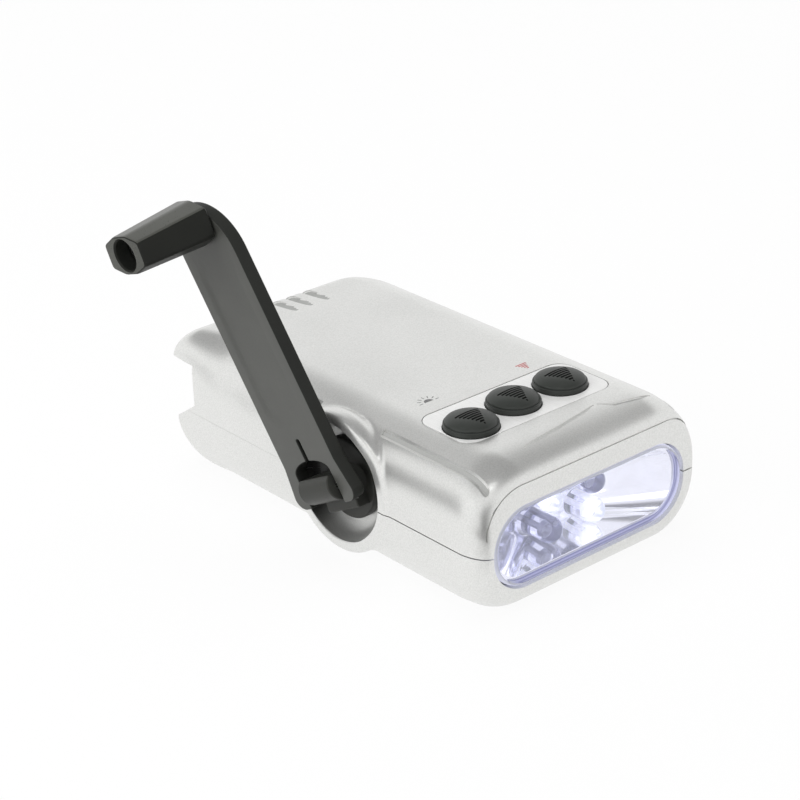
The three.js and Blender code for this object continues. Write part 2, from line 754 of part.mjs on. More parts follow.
const shaftEndX = -innerPlateX + restGap;
const pinBore = moved(rod(hingePinRadius + runGap, 'y', -armWidth, armWidth, 16), hingeX, 0, 0);
const hubPiece = cut(
  join(
    turned([[0, discFaceX], [discRadius - restGap, discFaceX], [discRadius, discFaceX + restGap],
      [discRadius, discBackX], [0, discBackX]], 'x', 36),
    rod(shaftRadius, 'x', discBackX - overrun / 2, shaftEndX, 24),
    prismAcross(tongueShape(), -tongueWidth / 2, tongueWidth / 2)),
  pinBore);
const bushEndX = cupBackX + runGap + bushFlange;
const hubBush = turned([
  [shaftRadius + runGap, recessFloorX + seatGap], [bushRadius, recessFloorX + seatGap],
  [bushRadius, cupBackX + runGap], [bushFlangeRadius, cupBackX + runGap], [bushFlangeRadius, bushEndX],
  [shaftRadius + runGap, bushEndX], [shaftRadius + runGap, recessFloorX + seatGap]], 'x', 24);

// Crank arm, drawn with its hinge at the origin, its length up Z and its outer face to -X

function armShape() {
  const side = armWidth / 2;
  const foot = armFootWidth / 2;
  const top = armReach + armTopOverhang;
  const shape = new THREE.Shape();
  shape.moveTo(foot, -armTail + armTailRadius);
  shape.lineTo(side, armFlareTop);
  shape.lineTo(side, top - armTopRearRadius);
  shape.absarc(side - armTopRearRadius, top - armTopRearRadius, armTopRearRadius, 0, Math.PI / 2, false);
  shape.absarc(-side + armTopFrontRadius, top - armTopFrontRadius, armTopFrontRadius, Math.PI / 2, Math.PI, false);
  shape.lineTo(-side, armFlareTop);
  shape.lineTo(-foot, -armTail + armTailRadius);
  shape.absarc(-foot + armTailRadius, -armTail + armTailRadius, armTailRadius, Math.PI, Math.PI * 1.5, false);
  shape.absarc(foot - armTailRadius, -armTail + armTailRadius, armTailRadius, Math.PI * 1.5, Math.PI * 2, false);
  return shape;
}

function keyholeShape() {
  const half = keyholeWidth / 2;
  const archFoot = tongueRadius + restGap;
  const shape = new THREE.Shape();
  const steps = 12;
  shape.moveTo(-half, -armTail - overrun);
  shape.lineTo(half, -armTail - overrun);
  for (let i = 0; i <= steps; i += 1) {
    const angle = Math.PI * i / steps;
    shape.lineTo(half * Math.cos(angle), archFoot + (keyholeTop - archFoot) * Math.sin(angle));
  }
  return shape;
}

const armFace = -armThickness / 2;
const armBack = armThickness / 2;
const channelLow = flexSlotTop + overrun;
const channelHigh = armReach - knobRootHeight;
const spigotEnd = armFace - restGap - knobLength + knobMouthDepth - restGap;
const earBlocks = [-1, 1].map((side) => {
  const inner = keyholeWidth / 2;
  const outer = armWidth / 2;
  const low = side < 0 ? -outer : inner;
  return rod(earRadius, 'y', low, low + outer - inner, 20)
    .intersect(block(0, earRadius + overrun, -armWidth, armWidth, -earRadius, earRadius));
});
const armPin = rod(hingePinRadius + runGap, 'y', -armWidth, armWidth, 16);
const spigotPilot = moved(rod(screwRadius + runGap, 'x', spigotEnd - overrun, armFace, 12), 0, 0, armReach);
const armPiece = cut(
  join(prism(armShape(), 'x', armFace, armBack), ...earBlocks,
    moved(rod(knobBore - runGap, 'x', spigotEnd, 0, 20), 0, 0, armReach)),
  prism(keyholeShape(), 'x', -armThickness, earRadius + overrun),
  block(-armThickness, armThickness, -flexSlotWidth / 2, flexSlotWidth / 2, 0, flexSlotTop),
  prism(roundedShape(armChannelWidth, channelHigh - channelLow, armChannelWidth / 2 - overrun, 0,
    (channelLow + channelHigh) / 2), 'x', armFace - overrun, armFace + armChannelDepth),
  armPin, spigotPilot);
const hingePinSolid = rod(hingePinRadius, 'y', -armWidth / 2 + restGap, armWidth / 2 - restGap, 16);

// Knob: an oblong sleeve that tapers to its free end and turns on the arm's spigot

function knobRing(x, width, height) {
  const flatShare = 0.62;
  const crownShare = 0.34;
  const half = width / 2;
  const flat = height * flatShare / 2;
  const top = height / 2;
  const crown = half * crownShare;
  const side = [[-half, -flat], [-half, flat], [-crown, top], [crown, top], [half, flat], [half, -flat],
    [crown, -top], [-crown, -top]];
  return side.map(([y, z]) => new THREE.Vector3(x, y, z));
}

const knobRootX = armFace - restGap;
const knobEndX = knobRootX - knobLength;
const knobPiece = cut(
  loft([knobRing(knobRootX, knobRootWidth, knobRootHeight), knobRing(knobEndX, knobEndWidth, knobEndHeight)]),
  rod(knobBore, 'x', knobEndX - overrun, knobRootX + overrun, 20),
  rod(knobMouthRadius, 'x', knobEndX - overrun, knobEndX + knobMouthDepth, 20));

// Gears

function involute(angle) {
  return Math.tan(angle) - angle;
}

// Spur gear outline with a tooth centred on the first axis, turned by a share of one tooth
function gearShape(teeth, addendum, turnShare = 0) {
  const pitch = gearModule * teeth / 2;
  const base = pitch * Math.cos(pressureAngle);
  const tip = pitch + addendum;
  const root = pitch - toothDepth;
  const backlashAngle = gearBacklash / 2 / pitch;
  const halfTooth = (radius) => Math.PI / 2 / teeth + involute(pressureAngle) - backlashAngle
    - involute(Math.acos(Math.min(1, base / radius)));
  const radii = base - root > toothDepth / 2 ? [root, base, (base + tip) / 2, tip] : [root, tip];
  const flank = radii.map((radius) => [radius, -halfTooth(Math.max(radius, base))]);
  const tooth = [...flank, ...flank.map(([radius, angle]) => [radius, -angle]).reverse()];
  const points = [];
  for (let i = 0; i < teeth; i += 1) {
    for (const [radius, offset] of tooth) {
      const angle = 2 * Math.PI * (i + turnShare) / teeth + offset;
      points.push(new THREE.Vector2(radius * Math.cos(angle), radius * Math.sin(angle)));
    }
  }
  return new THREE.Shape(points);
}

const halfToothShare = 0.5;
const mainGearX = -outerPlateX + overrun;
const pinionX = mainGearX - restGap;
const idlerWheelX = pinionX + pinionLength;
const rotorPinionX = idlerWheelX - 2 * restGap;
const mainGear = cut(
  prism(gearShape(mainTeeth, wheelAddendum), 'x', mainGearX, mainGearX + gearThickness),
  rod(shaftRadius + runGap, 'x', mainGearX - overrun, mainGearX + gearThickness + overrun, 20));
const idlerGear = cut(
  join(prism(gearShape(pinionTeeth, pinionAddendum, halfToothShare), 'x', pinionX,
    idlerWheelX + gearThickness / 2),
    prism(gearShape(idlerTeeth, wheelAddendum), 'x', idlerWheelX, idlerWheelX + gearThickness)),
  rod(axleRadius + runGap, 'x', pinionX - overrun, idlerWheelX + gearThickness + overrun, 16));
const rotorPinion = cut(
  prism(gearShape(pinionTeeth, pinionAddendum, halfToothShare), 'x', rotorPinionX,
    rotorPinionX + pinionLength),
  rod(axleRadius + seatGap, 'x', rotorPinionX - overrun, rotorPinionX + pinionLength + overrun, 16));
const clipX = mainGearX + gearThickness + runGap;
const shaftClip = turned([[shaftRadius + runGap, clipX], [shaftRadius + overrun, clipX],
  [shaftRadius + overrun, clipX + plateThickness / 2], [shaftRadius + runGap, clipX + plateThickness / 2],
  [shaftRadius + runGap, clipX]], 'x', 20);

// Gearbox plates, pillars and end bracket

const plateShape = roundedShape(plateRearY - plateFrontY, plateTop - plateFoot, 2 * pillarRadius,
  (plateFrontY + plateRearY) / 2, (plateTop + plateFoot) / 2);
const outerPlateLow = -outerPlateX - plateThickness;
const innerPlateLow = -innerPlateX - plateThickness;
const pillarInset = pillarRadius + restGap;
const pillarPlaces = [
  [plateFrontY + pillarInset, plateFoot + pillarInset],
  [plateFrontY + pillarInset, plateTop - pillarInset],
  [plateRearY - pillarInset, plateFoot + pillarInset],
  [plateRearY - pillarInset, plateTop - pillarInset],
];
const plateBores = [
  [hubY, shaftRadius + runGap],
  [idlerY, axleRadius + runGap],
  [rotorY, axleRadius + runGap],
].map(([y, radius]) => moved(rod(radius, 'x', outerPlateLow - overrun, overrun, 20), 0, y, hubHeight));
const plateScrewBores = pillarPlaces.map(([y, z]) => moved(
  rod(axleRadius + runGap, 'x', outerPlateLow - overrun, innerPlateLow + plateThickness / 2, 12), 0, y, z));
const outerPlate = cut(prism(plateShape, 'x', outerPlateLow, -outerPlateX), ...plateBores, ...plateScrewBores);
const innerPlate = cut(
  join(prism(plateShape, 'x', innerPlateLow, -innerPlateX),
    ...pillarPlaces.map(([y, z]) => moved(
      rod(pillarRadius, 'x', -outerPlateX + seatGap, innerPlateLow + plateThickness / 2, 16), 0, y, z))),
  ...plateBores, ...plateScrewBores);
const coreLow = -innerPlateX + restGap;
const bracketLow = coreLow + magnetLength + 2 * overrun;
const axleEnd = bracketLow + plateThickness + seatGap;

// Dynamo: magnet on the rotor shaft, laminated core, bobbin, winding and end bracket

const rotorShaft = rod(axleRadius, 'x', outerPlateLow + seatGap, axleEnd, 16);
const magnetX = coreLow + overrun / 2;
const magnet = cut(rod(magnetRadius, 'x', magnetX, magnetX + magnetLength, 24),
  rod(axleRadius + seatGap, 'x', magnetX - overrun, magnetX + magnetLength + overrun, 16));
const idlerAxle = rod(axleRadius, 'x', outerPlateLow + seatGap, -innerPlateX - seatGap, 16);

const coreFrontY = rotorY - magnetRadius - 2 * poleGap - overrun;
const coilWindowY = rotorY + magnetRadius + overrun;
const coreRearY = coilWindowY + coreWindow + coreThickness;
const coreLowZ = hubHeight - coreHeight / 2;
const coreHighZ = hubHeight + coreHeight / 2;
const coreX = magnetX + (magnetLength - coreThickness) / 2;
const legFrontY = coreRearY - coreThickness;
const coilTopZ = coreHighZ - coreArm;
const coilLowZ = coreLowZ + coreArm;
const statorCore = cut(
  block(coreX, coreX + coreThickness, coreFrontY, coreRearY, coreLowZ, coreHighZ),
  moved(rod(magnetRadius + poleGap, 'x', coreX - overrun, coreX + coreThickness + overrun, 28), 0, rotorY, hubHeight),
  block(coreX - overrun, coreX + coreThickness + overrun, coreFrontY - overrun, coilWindowY + overrun,
    hubHeight - overrun, hubHeight + overrun),
  block(coreX - overrun, coreX + coreThickness + overrun, coilWindowY, legFrontY, coilLowZ, coilTopZ));

function tube(inner, outer, lowZ, highZ) {
  const midX = coreX + coreThickness / 2;
  const midY = legFrontY + coreThickness / 2;
  const reach = coreThickness / 2;
  return cut(
    block(midX - reach - outer, midX + reach + outer, midY - reach - outer, midY + reach + outer, lowZ, highZ),
    block(midX - reach - inner, midX + reach + inner, midY - reach - inner, midY + reach + inner,
      lowZ - overrun, highZ + overrun));
}

const bobbinLow = coilLowZ + runGap;
const bobbinHigh = coilTopZ - runGap;
const spoolRadius = runGap + bobbinWall;
const coilBobbin = join(
  tube(runGap, spoolRadius, bobbinLow, bobbinHigh),
  tube(runGap, spoolRadius + windingDepth, bobbinLow, bobbinLow + bobbinWall),
  tube(runGap, spoolRadius + windingDepth, bobbinHigh - bobbinWall, bobbinHigh));
const coilWinding = tube(spoolRadius + seatGap, spoolRadius + windingDepth - restGap, bobbinLow + bobbinWall + seatGap,
  bobbinHigh - bobbinWall - seatGap);
const bracketReach = magnetRadius + 2 * overrun;
const endBracket = cut(
  join(
    block(bracketLow, bracketLow + plateThickness, rotorY - bracketReach, rotorY + bracketReach, plateFoot,
      coreHighZ + overrun),
    block(bracketLow, bracketLow + plateThickness, rotorY - bracketReach, rotorY + bracketReach, wall + seatGap,
      plateFoot + overrun)),
  ...plateBores);

// Battery cells and contacts, alarm

const cellSolids = [];
for (let i = 0; i < cellCount; i += 1) {
  const low = cellY + i * (cellLength + runGap);
  cellSolids.push(moved(rod(cellRadius, 'y', low, low + cellLength, 28), cellX, 0, cellHeight));
}
const contactShare = 0.6;
const contactHalf = cellRadius * contactShare;
const contactLow = wall + seatGap;
const frontContact = block(cellX - contactHalf, cellX + contactHalf, cradleEnds[0] - contactGap,
  cradleEnds[0] - runGap, contactLow, cellHeight + overrun);
const rearContact = block(cellX - contactHalf, cellX + contactHalf, cradleEnds[1] + runGap,
  cradleEnds[1] + contactGap, contactLow, cellHeight + overrun);
const buzzer = cut(
  moved(rod(buzzerRadius, 'z', buzzerTop - buzzerHeight, buzzerTop, 28), buzzerX, buzzerY, 0),
  moved(rod(overrun, 'z', buzzerTop - overrun, buzzerTop + overrun, 12), buzzerX, buzzerY, 0));

// Materials

function finish(color, roughness, metalness, extra = {}) {
  return new THREE.MeshStandardMaterial({ color, roughness, metalness, ...extra });
}

const silverPaint = finish(0xd9dad6, 0.38, 0.6);
const blackPlastic = finish(0x2b2d2b, 0.5, 0);
const greyPlastic = finish(0x6a6c66, 0.45, 0);
const clearPlastic = finish(0xe6e8f6, 0.06, 0, { transparent: true, opacity: 0.35 });
const chrome = finish(0xf0f2f6, 0.08, 1);
const ledClear = finish(0xeef2ff, 0.05, 0, { transparent: true, opacity: 0.6 });
const panelWhite = finish(0xf0f0ee, 0.4, 0);
const keyRubber = finish(0x4e524d, 0.6, 0);
const boardGreen = finish(0x1f5a35, 0.5, 0);
const steel = finish(0xb8bbbd, 0.3, 1);
const whiteNylon = finish(0xe9e6dc, 0.5, 0);
const magnetGrey = finish(0x3a3a3c, 0.5, 0.4);
const coreSteel = finish(0x8b8f94, 0.4, 0.9);
const copper = finish(0xb5672f, 0.35, 0.9);
const bronze = finish(0xa9824a, 0.4, 0.8);
const cellSleeve = finish(0x2f7d4f, 0.5, 0);

// Assembly

const model = new THREE.Group();

function add(parent, name, solid, material) {
  const mesh = new THREE.Mesh(toGeometry(solid), material);
  mesh.name = name;
  parent.add(mesh);
  return mesh;
}

add(model, 'upper_shell', upperShell, silverPaint);
add(model, 'lower_shell', lowerShell, silverPaint);
add(model, 'front_lens', frontLens, clearPlastic);
add(model, 'reflector', reflector, chrome);
ledPlaces.forEach(([x, z], i) => {
  add(model, `led_${i + 1}`, turned(ledProfile(), 'y', 16), ledClear).position.set(x, 0, z);
});
add(model, 'led_board', ledBoard, boardGreen);
add(model, 'key_panel', keyPanel, panelWhite);
keyPlaces.forEach(([x, y], i) => {
  add(model, `key_${i + 1}`, keySolid(), keyRubber).position.set(x, y, 0);
  add(model, `snap_dome_${i + 1}`, domeSolid(), steel).position.set(x, y, 0);
});
add(model, 'main_board', mainBoard, boardGreen);
boardPosts.forEach(([x, y], i) => {
  const screw = screwSolid(screwHeadRadius, screwHeadHeight, screwRadius, innerTop - boardTop);
  add(model, `board_screw_${i + 1}`, screw, steel).position.set(x, y, boardHeight - screwHeadHeight - seatGap);
});
casePosts.forEach(([x, y, raise], i) => {
  const screw = screwSolid(screwHeadRadius, screwHeadHeight, screwRadius, screwLength);
  const low = screwSinkDepth + raise - screwHeadHeight - seatGap;
  add(model, `case_screw_${i + 1}`, screw, steel).position.set(x, y, low);
});

const spun = new THREE.Group();
spun.position.set(0, hubY, hubHeight);
spun.rotation.x = THREE.MathUtils.degToRad(-armSpin);
model.add(spun);
add(spun, 'crank_hub', hubPiece, blackPlastic);
const folded = new THREE.Group();
folded.position.x = hingeX;
folded.rotation.y = THREE.MathUtils.degToRad(-armLean);
spun.add(folded);
add(folded, 'crank_arm', armPiece, greyPlastic);
add(folded, 'hinge_pin', hingePinSolid, steel);
const knob = add(folded, 'crank_knob', knobPiece, blackPlastic);
knob.position.z = armReach;
knob.rotation.x = THREE.MathUtils.degToRad(knobRoll);
const knobScrew = add(folded, 'knob_screw', screwSolid(knobScrewHeadRadius, knobScrewHead, screwRadius,
  knobLength - knobMouthDepth - overrun), steel);
knobScrew.position.set(spigotEnd - knobScrewHead - restGap, 0, armReach);
knobScrew.rotation.y = Math.PI / 2;

add(model, 'hub_bush', hubBush, bronze).position.set(0, hubY, hubHeight);
add(model, 'shaft_clip', shaftClip, steel).position.set(0, hubY, hubHeight);
add(model, 'main_gear', mainGear, whiteNylon).position.set(0, hubY, hubHeight);
add(model, 'idler_gear', idlerGear, whiteNylon).position.set(0, idlerY, hubHeight);
add(model, 'idler_axle', idlerAxle, steel).position.set(0, idlerY, hubHeight);
add(model, 'rotor_pinion', rotorPinion, whiteNylon).position.set(0, rotorY, hubHeight);
add(model, 'rotor_shaft', rotorShaft, steel).position.set(0, rotorY, hubHeight);
add(model, 'rotor_magnet', magnet, magnetGrey).position.set(0, rotorY, hubHeight);
add(model, 'gear_plate_outer', outerPlate, blackPlastic);
add(model, 'gear_plate_inner', innerPlate, blackPlastic);
add(model, 'end_bracket', endBracket, blackPlastic);
add(model, 'stator_core', statorCore, coreSteel);
add(model, 'coil_bobbin', coilBobbin, whiteNylon);
add(model, 'coil_winding', coilWinding, copper);
cellSolids.forEach((solid, i) => add(model, `battery_cell_${i + 1}`, solid, cellSleeve));
add(model, 'battery_contact_front', frontContact, steel);
add(model, 'battery_contact_rear', rearContact, steel);
add(model, 'alarm_buzzer', buzzer, blackPlastic);

export default model;
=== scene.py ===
import json
import math

import bpy
import numpy as np
from mathutils import Matrix, Vector


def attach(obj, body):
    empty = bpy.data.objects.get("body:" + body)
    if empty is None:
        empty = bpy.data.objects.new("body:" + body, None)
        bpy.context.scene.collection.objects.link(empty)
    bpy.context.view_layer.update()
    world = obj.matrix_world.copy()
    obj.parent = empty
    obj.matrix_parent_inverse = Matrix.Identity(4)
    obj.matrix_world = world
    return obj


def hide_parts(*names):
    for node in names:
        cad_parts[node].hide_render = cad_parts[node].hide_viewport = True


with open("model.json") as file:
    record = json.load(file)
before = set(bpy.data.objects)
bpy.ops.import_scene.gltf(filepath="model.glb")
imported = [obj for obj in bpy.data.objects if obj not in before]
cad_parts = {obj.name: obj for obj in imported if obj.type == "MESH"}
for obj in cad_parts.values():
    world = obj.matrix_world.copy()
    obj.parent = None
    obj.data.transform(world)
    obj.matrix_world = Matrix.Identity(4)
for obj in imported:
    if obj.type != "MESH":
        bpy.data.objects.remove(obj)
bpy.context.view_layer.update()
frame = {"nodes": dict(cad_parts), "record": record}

# Case shells
# The case is two injection-moulded plastic shells with a satin silver paint. They meet at a seam
# on the sides and are cut from one form here: a long rounded box with a swell round the crank.
case_half = 0.027
case_front = -0.0452
case_rear = 0.0452
case_top = 0.0288
seam_z = 0.0128
seam_gap, seam_closed = 0.00022, 0.00003
case_wall = 0.0018
least_round = 0.0003
lower_edge_radius = 0.0075
front_lower_radius = 0.0095
corner_share = 0.96
front_side, front_side_run = 0.0035, 0.006
plain_side, plain_side_run = 0.0009, 0.0024
front_drop, front_top_run = 0.0042, 0.0085
front_rise, front_bottom_run = 0.004, 0.0045
rear_side = 0.009
crank_corner = 0.0006
shoulder_start = 0.0183
crank_rear_start = 0.0233
crank_rear_edge = 0.004
crank_rear_run = 0.015
rear_drop = 0.0038
rear_rise, rear_bottom_run = 0.008, 0.012
hub_y, hub_z = -0.0064, 0.0147
swell_radius = 0.014
swell_face = -0.0278
swell_edge, swell_blend = 0.0010, 0.0010
swell_fade, swell_fade_start, swell_fade_run = 0.0006, 0.005, 0.006
swell_taper, swell_taper_x, swell_taper_run = 0.0028, -0.0255, 0.0040
push_x, push_reach, push_in_share, push_out = -0.0125, 0.0185, 0.4, 0.006
push_from_x, push_from_z = -0.0115, 0.0144
fine_reach, fine_step, skin_step, cutter_step, cavity_step = 0.018, 0.00024, 0.0008, 0.004, 0.01
margin = 0.001


def ease(share):
    return share * share * (3.0 - 2.0 * share)


def quarter_inset(depth, rise, run):
    depth = np.clip(depth, 0.0, run)
    return rise * (1.0 - np.sqrt(np.clip(1.0 - (1.0 - depth / run) ** 2, 0.0, 1.0)))


def section_sizes(y, inset, crank_side):
    front, rear = y - case_front - inset, case_rear - inset - y
    rise, run = (front_side, front_side_run) if crank_side else (plain_side, plain_side_run)
    side = quarter_inset(front, max(0.0, rise - inset), max(least_round, run - inset))
    corner = (crank_corner if crank_side else rear_side) - inset
    if corner > 0:
        side += quarter_inset(rear, corner, corner)
    rear_fall = quarter_inset(rear, rear_drop - inset, rear_drop - inset)
    low = inset + quarter_inset(front, front_rise - inset, front_bottom_run - inset)
    low += quarter_inset(rear, rear_rise - inset, rear_bottom_run - inset)
    front_fall = quarter_inset(front, front_drop - inset, front_top_run - inset)
    high = case_top - inset - rear_fall - front_fall
    near_front = np.clip(1.0 - front / front_top_run, 0.0, 1.0)
    low_radius = lower_edge_radius + (front_lower_radius - lower_edge_radius) * near_front - inset
    high_radius = case_top - inset - shoulder_start
    if crank_side:
        near_rear = ease(np.clip(1.0 - rear / crank_rear_run, 0.0, 1.0))
        low_radius += (crank_rear_edge - lower_edge_radius) * near_rear
        start = shoulder_start + (crank_rear_start - shoulder_start) * near_rear
        high_radius = np.clip(case_top - inset - start - rear_fall, least_round, high_radius)
    fit = np.minimum(1.0, corner_share * (high - low) / (low_radius + high_radius))
    return case_half - inset - side, low, high, low_radius * fit, high_radius * fit


def section_ring(y, inset, plain_steps, crank_steps):
    # Each pair of steps is for one corner arc and for the straight run after it
    half, low, high, low_r, high_r = (float(v) for v in section_sizes(y, inset, False))
    crank_half, _, _, crank_low_r, crank_high_r = (float(v) for v in section_sizes(y, inset, True))
    corners = (
        (half - low_r, low + low_r, low_r, -90),
        (half - high_r, high - high_r, high_r, 0),
        (-crank_half + crank_high_r, high - crank_high_r, crank_high_r, 90),
        (-crank_half + crank_low_r, low + crank_low_r, crank_low_r, 180),
    )
    counts = (plain_steps, plain_steps, crank_steps, (crank_steps[0], plain_steps[1]))
    arcs = []
    for (x, z, radius, start), (arc_steps, _) in zip(corners, counts):
        angles = np.radians(start + 90.0 * np.arange(arc_steps + 1) / arc_steps)
        arcs.append(np.stack([x + radius * np.cos(angles), z + radius * np.sin(angles)], 1))
    ring = []
    for arc, after, (_, flat_steps) in zip(arcs, arcs[1:] + arcs[:1], counts):
        ring.extend(arc)
        for step in range(1, flat_steps):
            ring.append(arc[-1] + (after[0] - arc[-1]) * step / flat_steps)
    return np.array([(x, y, z) for x, z in ring])


def swell_distance(x, y, z):
    taper = np.clip((x - swell_taper_x) / swell_taper_run, 0.0, 1.0)
    radius = swell_radius - swell_taper * taper * taper
    out = np.hypot(y - hub_y, z - hub_z) - radius + swell_edge
    fade = np.clip((hub_y - swell_fade_start - y) / swell_fade_run, 0.0, 1.0)
    face = swell_face + swell_fade * ease(fade) - x + swell_edge
    corner = np.hypot(np.maximum(out, 0.0), np.maximum(face, 0.0))
    return corner + np.minimum(np.maximum(out, face), 0.0) - swell_edge


def case_distance(x, y, z):
    half, low, high, low_r, high_r = section_sizes(y, 0.0, True)
    middle, tall = (low + high) / 2, (high - low) / 2
    radius = np.where(z > middle, high_r, low_r)
    across = np.abs(x) - half + radius
    up = np.abs(z - middle) - tall + radius
    corner = np.hypot(np.maximum(across, 0.0), np.maximum(up, 0.0))
    box = corner + np.minimum(np.maximum(across, up), 0.0) - radius
    swell = swell_distance(x, y, z)
    meet = np.maximum(swell_blend - np.abs(box - swell), 0.0) / swell_blend
    return np.minimum(box, swell) - meet * meet * swell_blend / 4


def push_swell(points):
    # Points near the crank move along rays in their own section until they lie on the swollen form
    near = (points[:, 0] < push_x) & (np.abs(points[:, 1] - hub_y) < push_reach)
    if not near.any():
        return points
    spot = points[near]
    ray = np.stack([spot[:, 0] - push_from_x, spot[:, 2] - push_from_z], 1)
    length = np.hypot(ray[:, 0], ray[:, 1])
    ray = ray / length[:, None]
    low, high = length * push_in_share, length + push_out
    for _ in range(40):
        middle = (low + high) / 2
        x, z = push_from_x + ray[:, 0] * middle, push_from_z + ray[:, 1] * middle
        outside = case_distance(x, spot[:, 1], z) > 0
        high = np.where(outside, middle, high)
        low = np.where(outside, low, middle)
    reach = (low + high) / 2
    points = points.copy()
    points[near, 0] = push_from_x + ray[:, 0] * reach
    points[near, 2] = push_from_z + ray[:, 1] * reach
    return points


def new_object(name, vertices, faces):
    mesh = bpy.data.meshes.new(name)
    mesh.from_pydata([tuple(v) for v in vertices], [], faces)
    mesh.update()
    piece = bpy.data.objects.new(name, mesh)
    bpy.context.scene.collection.objects.link(piece)
    return piece


def face_out(piece):
    # A closed mesh whose signed volume is negative is turned inside out
    mesh = piece.data
    mesh.calc_loop_triangles()
    corner = np.array([v.co for v in mesh.vertices])
    tris = np.array([t.vertices for t in mesh.loop_triangles])
    a, b, c = corner[tris[:, 0]], corner[tris[:, 1]], corner[tris[:, 2]]
    if np.einsum("ij,ij->i", a, np.cross(b, c)).sum() < 0:
        mesh.flip_normals()
    return piece


def lofted(name, rings):
    count = len(rings[0])
    faces = []
    for r in range(len(rings) - 1):
        for i in range(count):
            a, b = r * count + i, r * count + (i + 1) % count
            faces.append((a, b, b + count, a + count))
    last = (len(rings) - 1) * count
    faces.append(tuple(range(count))[::-1])
    faces.append(tuple(last + i for i in range(count)))
    return face_out(new_object(name, [p for ring in rings for p in ring], faces))


def closer_at_first(reach, steps):
    return [reach * (1 - math.cos(math.pi / 2 * i / steps)) for i in range(steps + 1)]


def case_form(
    name, inset, plain_steps, crank_steps, front_steps, rear_steps, middle_step, crank_step
):
    front_reach = front_top_run + case_wall - inset
    rear_reach = rear_bottom_run + case_wall - inset
    low, high = case_front + inset, case_rear - inset
    ys = [low + step for step in closer_at_first(front_reach, front_steps)]
    rear = [high - step for step in reversed(closer_at_first(rear_reach, rear_steps))]
    while rear[0] - ys[-1] > 1.5 * middle_step:
        ys.append(ys[-1] + (crank_step if abs(ys[-1] - hub_y) < fine_reach else middle_step))
    rings = [section_ring(y, inset, plain_steps, crank_steps) for y in ys + rear]
    if inset == 0:
        rings = [push_swell(ring) for ring in rings]
    return lofted(name, rings)


def prism(name, outline, axis, low, high):
    places = {
        "x": lambda a, b, h: (h, a, b),
        "y": lambda a, b, h: (a, h, b),
        "z": lambda a, b, h: (a, b, h),
    }
    place = places[axis]
    count = len(outline)
    points = [place(a, b, h) for h in (low, high) for a, b in outline]
    faces = [tuple(range(count))[::-1], tuple(range(count, 2 * count))]
    faces += [(i, (i + 1) % count, (i + 1) % count + count, i + count) for i in range(count)]
    return face_out(new_object(name, points, faces))


def turned(name, profile, axis, centre, segments=64):
    # A profile of (radius, place along the axis) pairs that starts and ends on the axis
    places = {
        "x": lambda r, c, s, h: (h, centre[1] + r * c, centre[2] + r * s),
        "y": lambda r, c, s, h: (centre[0] + r * c, h, centre[2] + r * s),
        "z": lambda r, c, s, h: (centre[0] + r * c, centre[1] + r * s, h),
    }
    place = places[axis]
    points, faces, rings = [], [], []
    for radius, along in profile:
        if radius <= 0:
            rings.append([len(points)])
            points.append(place(0, 0, 0, along))
            continue
        rings.append(list(range(len(points), len(points) + segments)))
        for i in range(segments):
            angle = 2 * math.pi * i / segments
            points.append(place(radius, math.cos(angle), math.sin(angle), along))
    for ring, after in zip(rings, rings[1:]):
        for i in range(segments):
            j = (i + 1) % segments
            if len(ring) == 1 and len(after) == 1:
                continue
            if len(ring) == 1:
                faces.append((ring[0], after[j], after[i]))
            elif len(after) == 1:
                faces.append((ring[i], ring[j], after[0]))
            else:
                faces.append((ring[i], ring[j], after[j], after[i]))
    return face_out(new_object(name, points, faces))


def rod(name, radius, axis, low, high, centre, segments=48):
    profile = [(0, low), (radius, low), (radius, high), (0, high)]
    return turned(name, profile, axis, centre, segments)


def settle(piece):
    # Applies the modifiers so far
    graph = bpy.context.evaluated_depsgraph_get()
    made = bpy.data.meshes.new_from_object(piece.evaluated_get(graph))
    piece.modifiers.clear()
    old = piece.data
    piece.data = made
    bpy.data.meshes.remove(old)
    return piece


def combine(piece, tools, operation="DIFFERENCE"):
    for tool in tools:
        step = piece.modifiers.new("combine", "BOOLEAN")
        step.operation = operation
        step.solver = "MANIFOLD"
        step.object = tool
    settle(piece)
    for tool in tools:
        mesh = tool.data
        bpy.data.objects.remove(tool)
        bpy.data.meshes.remove(mesh)
    return piece


def dress(piece, material, sharp_degrees=32):
    # Smooth shading between the sharp edges, and one material for every face
    piece.data.shade_smooth()
    piece.data.set_sharp_from_angle(angle=math.radians(sharp_degrees))
    weighted = piece.modifiers.new("weighted", "WEIGHTED_NORMAL")
    weighted.keep_sharp = True
    weighted.weight = 80
    piece.data.materials.clear()
    piece.data.materials.append(material)
    piece.data.polygons.foreach_set("material_index", [0] * len(piece.data.polygons))


def copy_of(piece, name):
    made = bpy.data.objects.new(name, piece.data.copy())
    made.data.name = name
    bpy.context.scene.collection.objects.link(made)
    return made


def box_tool(name, low, high):
    outline = [(low[0], low[1]), (high[0], low[1]), (high[0], high[1]), (low[0], high[1])]
    return prism(name, outline, "z", low[2], high[2])


def arc(x, y, radius, start, end, steps):
    angles = [math.radians(start + (end - start) * i / steps) for i in range(steps + 1)]
    return [(x + radius * math.cos(angle), y + radius * math.sin(angle)) for angle in angles]


def quarter(steps):
    # Sine and cosine of each step of a quarter turn, without its start
    angles = [math.pi / 2 * i / steps for i in range(1, steps + 1)]
    return [(math.sin(angle), math.cos(angle)) for angle in angles]


def rounded_outline(width, height, corner, centre=(0.0, 0.0), steps=12):
    points = []
    for turn, (side, rise) in enumerate(((1, -1), (1, 1), (-1, 1), (-1, -1))):
        x = centre[0] + side * (width / 2 - corner)
        y = centre[1] + rise * (height / 2 - corner)
        points += arc(x, y, corner, 90 * turn - 90, 90 * turn, steps)
    return points


